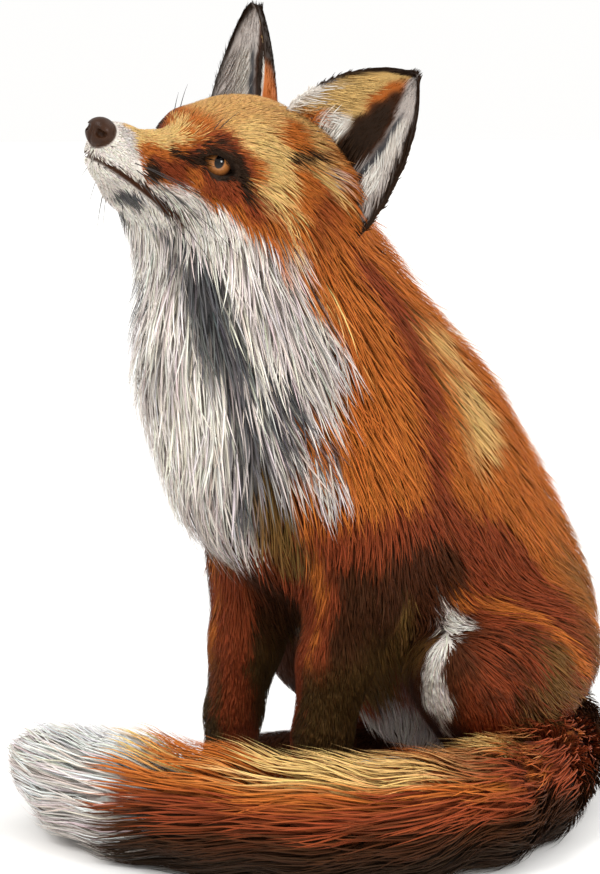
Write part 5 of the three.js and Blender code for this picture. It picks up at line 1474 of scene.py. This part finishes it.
rng = np.random.default_rng(7)
OVERLAP = 2.7                                   # layers of tufts over each place
wanted = OVERLAP * tri_area / (0.55 * tri_length * tuft_width(tri_length))
wanted *= np.where(tri_length < 9, np.where(middle[:, 2] > 200, 0.8, 0.5), 1.0)
drawn = np.floor(wanted + rng.random(len(wanted))).astype(int)
home = np.repeat(np.arange(len(drawn)), drawn)
r1, r2 = np.sqrt(rng.random(len(home))), rng.random(len(home))
root = tri[home, 0] * (1 - r1)[:, None] + tri[home, 1] * (r1 * (1 - r2))[:, None] + tri[home, 2] * (r1 * r2)[:, None]
normal = tri_normal[home]
on_tail = tri_tail[home]
hidden = bare(root) | (~on_tail & (grid_value(tail_grid, root) < -9)) | (on_tail & (grid_value(body_grid, root) < -12))
keep = ~hidden
root, normal, on_tail = root[keep], normal[keep], on_tail[keep]
run, length = combed(root)
knot, round_ = tail_place(root)
knots = np.arange(len(TAIL))
tangent = np.column_stack([np.interp(knot, knots, np.gradient(TAIL[:, i])) for i in range(3)])
run = np.where(on_tail[:, None], tangent, run)
length = np.where(on_tail, np.interp(knot, *TAIL_HAIR.T), length)
length = length * rng.uniform(0.72, 1.2, len(root))
depth = np.where(on_tail, -grid_value(tail_grid, root), np.clip(-grid_value(body_grid, root), 0.5, 14))
yaw = 0.1 * rng.normal(size=len(root)) + 0.16 * wander(root, 9, 71) + 0.16 * wander(root, 3.2, 73)
yaw[on_tail] *= 0.7
proud = np.minimum(0.02 * length, 1.2) * rng.uniform(-0.6, 1.2, len(root))
proud += np.where(on_tail, 0.06, 0.1) * length * (rng.random(len(root)) < 0.08) * (length > 24)


def walk(root, normal, run, length, depth, proud, yaw, on_tail, rings):
    """Each tuft's way over the body: a step along the lie, then out to its height."""
    n = len(root)
    paths, tops = np.empty((n, rings + 1, 3)), np.empty((n, rings + 1, 3))
    p = root - 0.6 * normal
    paths[:, 0], tops[:, 0] = p, normal
    up = normal
    for k in range(1, rings + 1):
        s = k / rings
        if np.any(on_tail):
            knot, _ = tail_place(p)
            along = np.column_stack([np.interp(knot, knots, np.gradient(TAIL[:, i])) for i in range(3)])
            run = np.where(on_tail[:, None], along, run)
        if k > 1:
            run = np.where(on_tail[:, None], run, combed(p)[0])
        t = run - np.einsum("ij,ij->i", run, up)[:, None] * up
        t /= np.maximum(np.linalg.norm(t, axis=1), 1e-6)[:, None]
        t = turned(t, up, yaw * (0.4 + 0.6 * s))
        p = p + t * (length / rings)[:, None]
        target = -depth * (1 - s) ** 1.25 + proud * s
        for _ in range(2):
            value = np.where(on_tail, grid_value(tail_grid, p), grid_value(body_grid, p))
            up = np.where(on_tail[:, None], grid_slope(tail_grid, p), grid_slope(body_grid, p))
            up /= np.maximum(np.linalg.norm(up, axis=1), 1e-6)[:, None]
            p = p - up * np.clip(value - target, -6, 6)[:, None]
        paths[:, k], tops[:, k] = p, up
    return paths, tops


RING_WIDTHS = {2: [0.62, 0.5], 3: [0.5, 0.56, 0.36], 4: [0.46, 0.56, 0.48, 0.28]}
GROUPS = [  # piece, which roots, slot
    ("coat_face", lambda h, p, tail: ~tail & (h[:, 0] > 4) & (np.linalg.norm(h - [-6, 0, -6], axis=1) < 96), "coat_rust"),
    ("coat_crown", lambda h, p, tail: ~tail & (np.linalg.norm(h - [-6, 0, -6], axis=1) < 92), "coat_orange"),
    ("coat_legs", lambda h, p, tail: ~tail & (p[:, 2] < 140) & (p[:, 1] < -50), "coat_dark"),
    ("coat_ruff", lambda h, p, tail: ~tail & (p[:, 2] > 180) & (p[:, 1] < -70), "coat_pale"),
    ("coat_left", lambda h, p, tail: ~tail & (p[:, 0] > 0), "coat_orange"),
    ("coat_right", lambda h, p, tail: ~tail, "coat_orange"),
    ("coat_brush", lambda h, p, tail: tail, "coat_orange")]
in_head_frame = to_head(root)
left_over = np.ones(len(root), bool)
MOST = 190000                                   # triangles in one piece
for name, rule, slot_name in GROUPS:
    mine = left_over & rule(in_head_frame, root, on_tail)
    left_over &= ~mine
    for rings, low, high in ((2, 0, 13), (3, 13, 26), (4, 26, 999)):
        whole = np.flatnonzero(mine & (length >= low) & (length < high))
        shares = math.ceil(len(whole) * (6 * rings - 2) / MOST)
        for i in range(shares):
            chosen = whole[i::shares]
            paths, tops = walk(root[chosen], normal[chosen], run[chosen], length[chosen], depth[chosen],
                               proud[chosen], yaw[chosen], on_tail[chosen], rings)
            width = tuft_width(length[chosen]) * rng.uniform(0.75, 1.15, len(chosen))
            widths = width[:, None] * np.array(RING_WIDTHS[rings])
            at = paths[:, (rings + 1) // 2]
            stain_at = markings_and_painted_light(at + 1.2 * rng.normal(size=at.shape), on_tail[chosen])
            shade = rng.uniform(0.9, 1.06, (len(chosen), 1)) + 0.06 * wander(at, 3.0, 75)[:, None]
            warm = 1 + 0.04 * rng.normal(size=(len(chosen), 3))
            stain_at = stain_at * shade * warm
            pale = 0.8 + 0.16 * np.clip(stain_at.mean(axis=1, keepdims=True) / 0.6, 0, 1)
            coat_piece(f"{name}_{rings}{'abcdef'[i]}", paths, tops, widths, 0.3, stain_at * pale,
                       np.minimum(stain_at * 1.06, 0.93),
                       unwrap(root[chosen], knot[chosen], round_[chosen], on_tail[chosen]), rng)



def ear_coat(side, rng):
    """Short black hair up the back, a fringe at the rim, long pale hairs from the edges into the cup."""
    kinds = [  # count, u from, to, v from, to, step in u, in v, rise off the ear, which face, length for its width
        (1500, -0.02, 0.96, -0.97, 0.97, 0.09, 0.0, 1.3, 0, 8), (1100, 0.02, 0.94, -0.8, 0.86, 0.08, 0.0, 1.0, 1, 7),
        (260, 0.02, 0.95, 0.93, 1.0, 0.07, 0.05, 0.6, 1, 6), (260, 0.02, 0.95, -1.0, -0.93, 0.07, -0.05, 0.6, 1, 6),
        (330, 0.0, 0.62, -1.0, -0.66, 0.17, 0.34, 3.2, 1, 17), (260, 0.0, 0.6, 0.62, 0.98, 0.16, -0.26, 2.6, 1, 15),
        (150, -0.04, 0.1, -0.7, 0.7, 0.26, -0.05, 4.0, 1, 22)]
    u, v, du, dv, rise, face, long = [np.concatenate(column) for column in zip(*[
        (rng.uniform(u0, u1, n), rng.uniform(v0, v1, n), step * rng.uniform(0.7, 1.2, n),
         across_ * rng.uniform(0.3, 1.3, n) + 0.02 * rng.normal(size=n), height * rng.uniform(0.5, 1.2, n),
         np.full(n, f), np.full(n, float(size))) for n, u0, u1, v0, v1, step, across_, height, f, size in kinds])]
    flip = np.array([1, side, 1])
    outward = ear_open * np.where(face > 0, 1, -1)[:, None]
    paths, tops = np.empty((len(u), 3, 3)), np.empty((len(u), 3, 3))
    for k, t in enumerate((0.0, 0.5, 1.0)):
        uu, vv = np.minimum(u + du * t, 1.03), v + dv * t
        local = on_ear(np.minimum(uu, 0.985), vv, face) + ear_along * np.maximum(uu - 0.985, 0)[:, None] * ear_length
        local += outward * (rise * t ** 0.8 - 0.5)[:, None]
        paths[:, k] = from_head(local * flip)
        tops[:, k] = turned_from_head(outward * flip)
    stain = ear_stain(u + 0.5 * du, np.clip(v + 0.3 * dv, -1, 1), face, on_ear(u, v, face), side)
    shade = rng.uniform(0.85, 1.1, (len(u), 1))
    widths = (tuft_width(long) * rng.uniform(0.8, 1.2, len(u)))[:, None] * np.array(RING_WIDTHS[2])
    flat = np.column_stack([0.02 + 0.12 * (v * 0.5 + 0.5) + 0.14 * face, (0.62 if side > 0 else 0.8) + 0.14 * np.clip(u, 0, 1)])
    coat_piece("coat_ear_left" if side > 0 else "coat_ear_right", paths, tops, widths, 0.3, stain * shade * 0.85,
               np.minimum(stain * shade * 1.08, 0.93), flat, rng)


ear_coat(1, rng)
ear_coat(-1, rng)
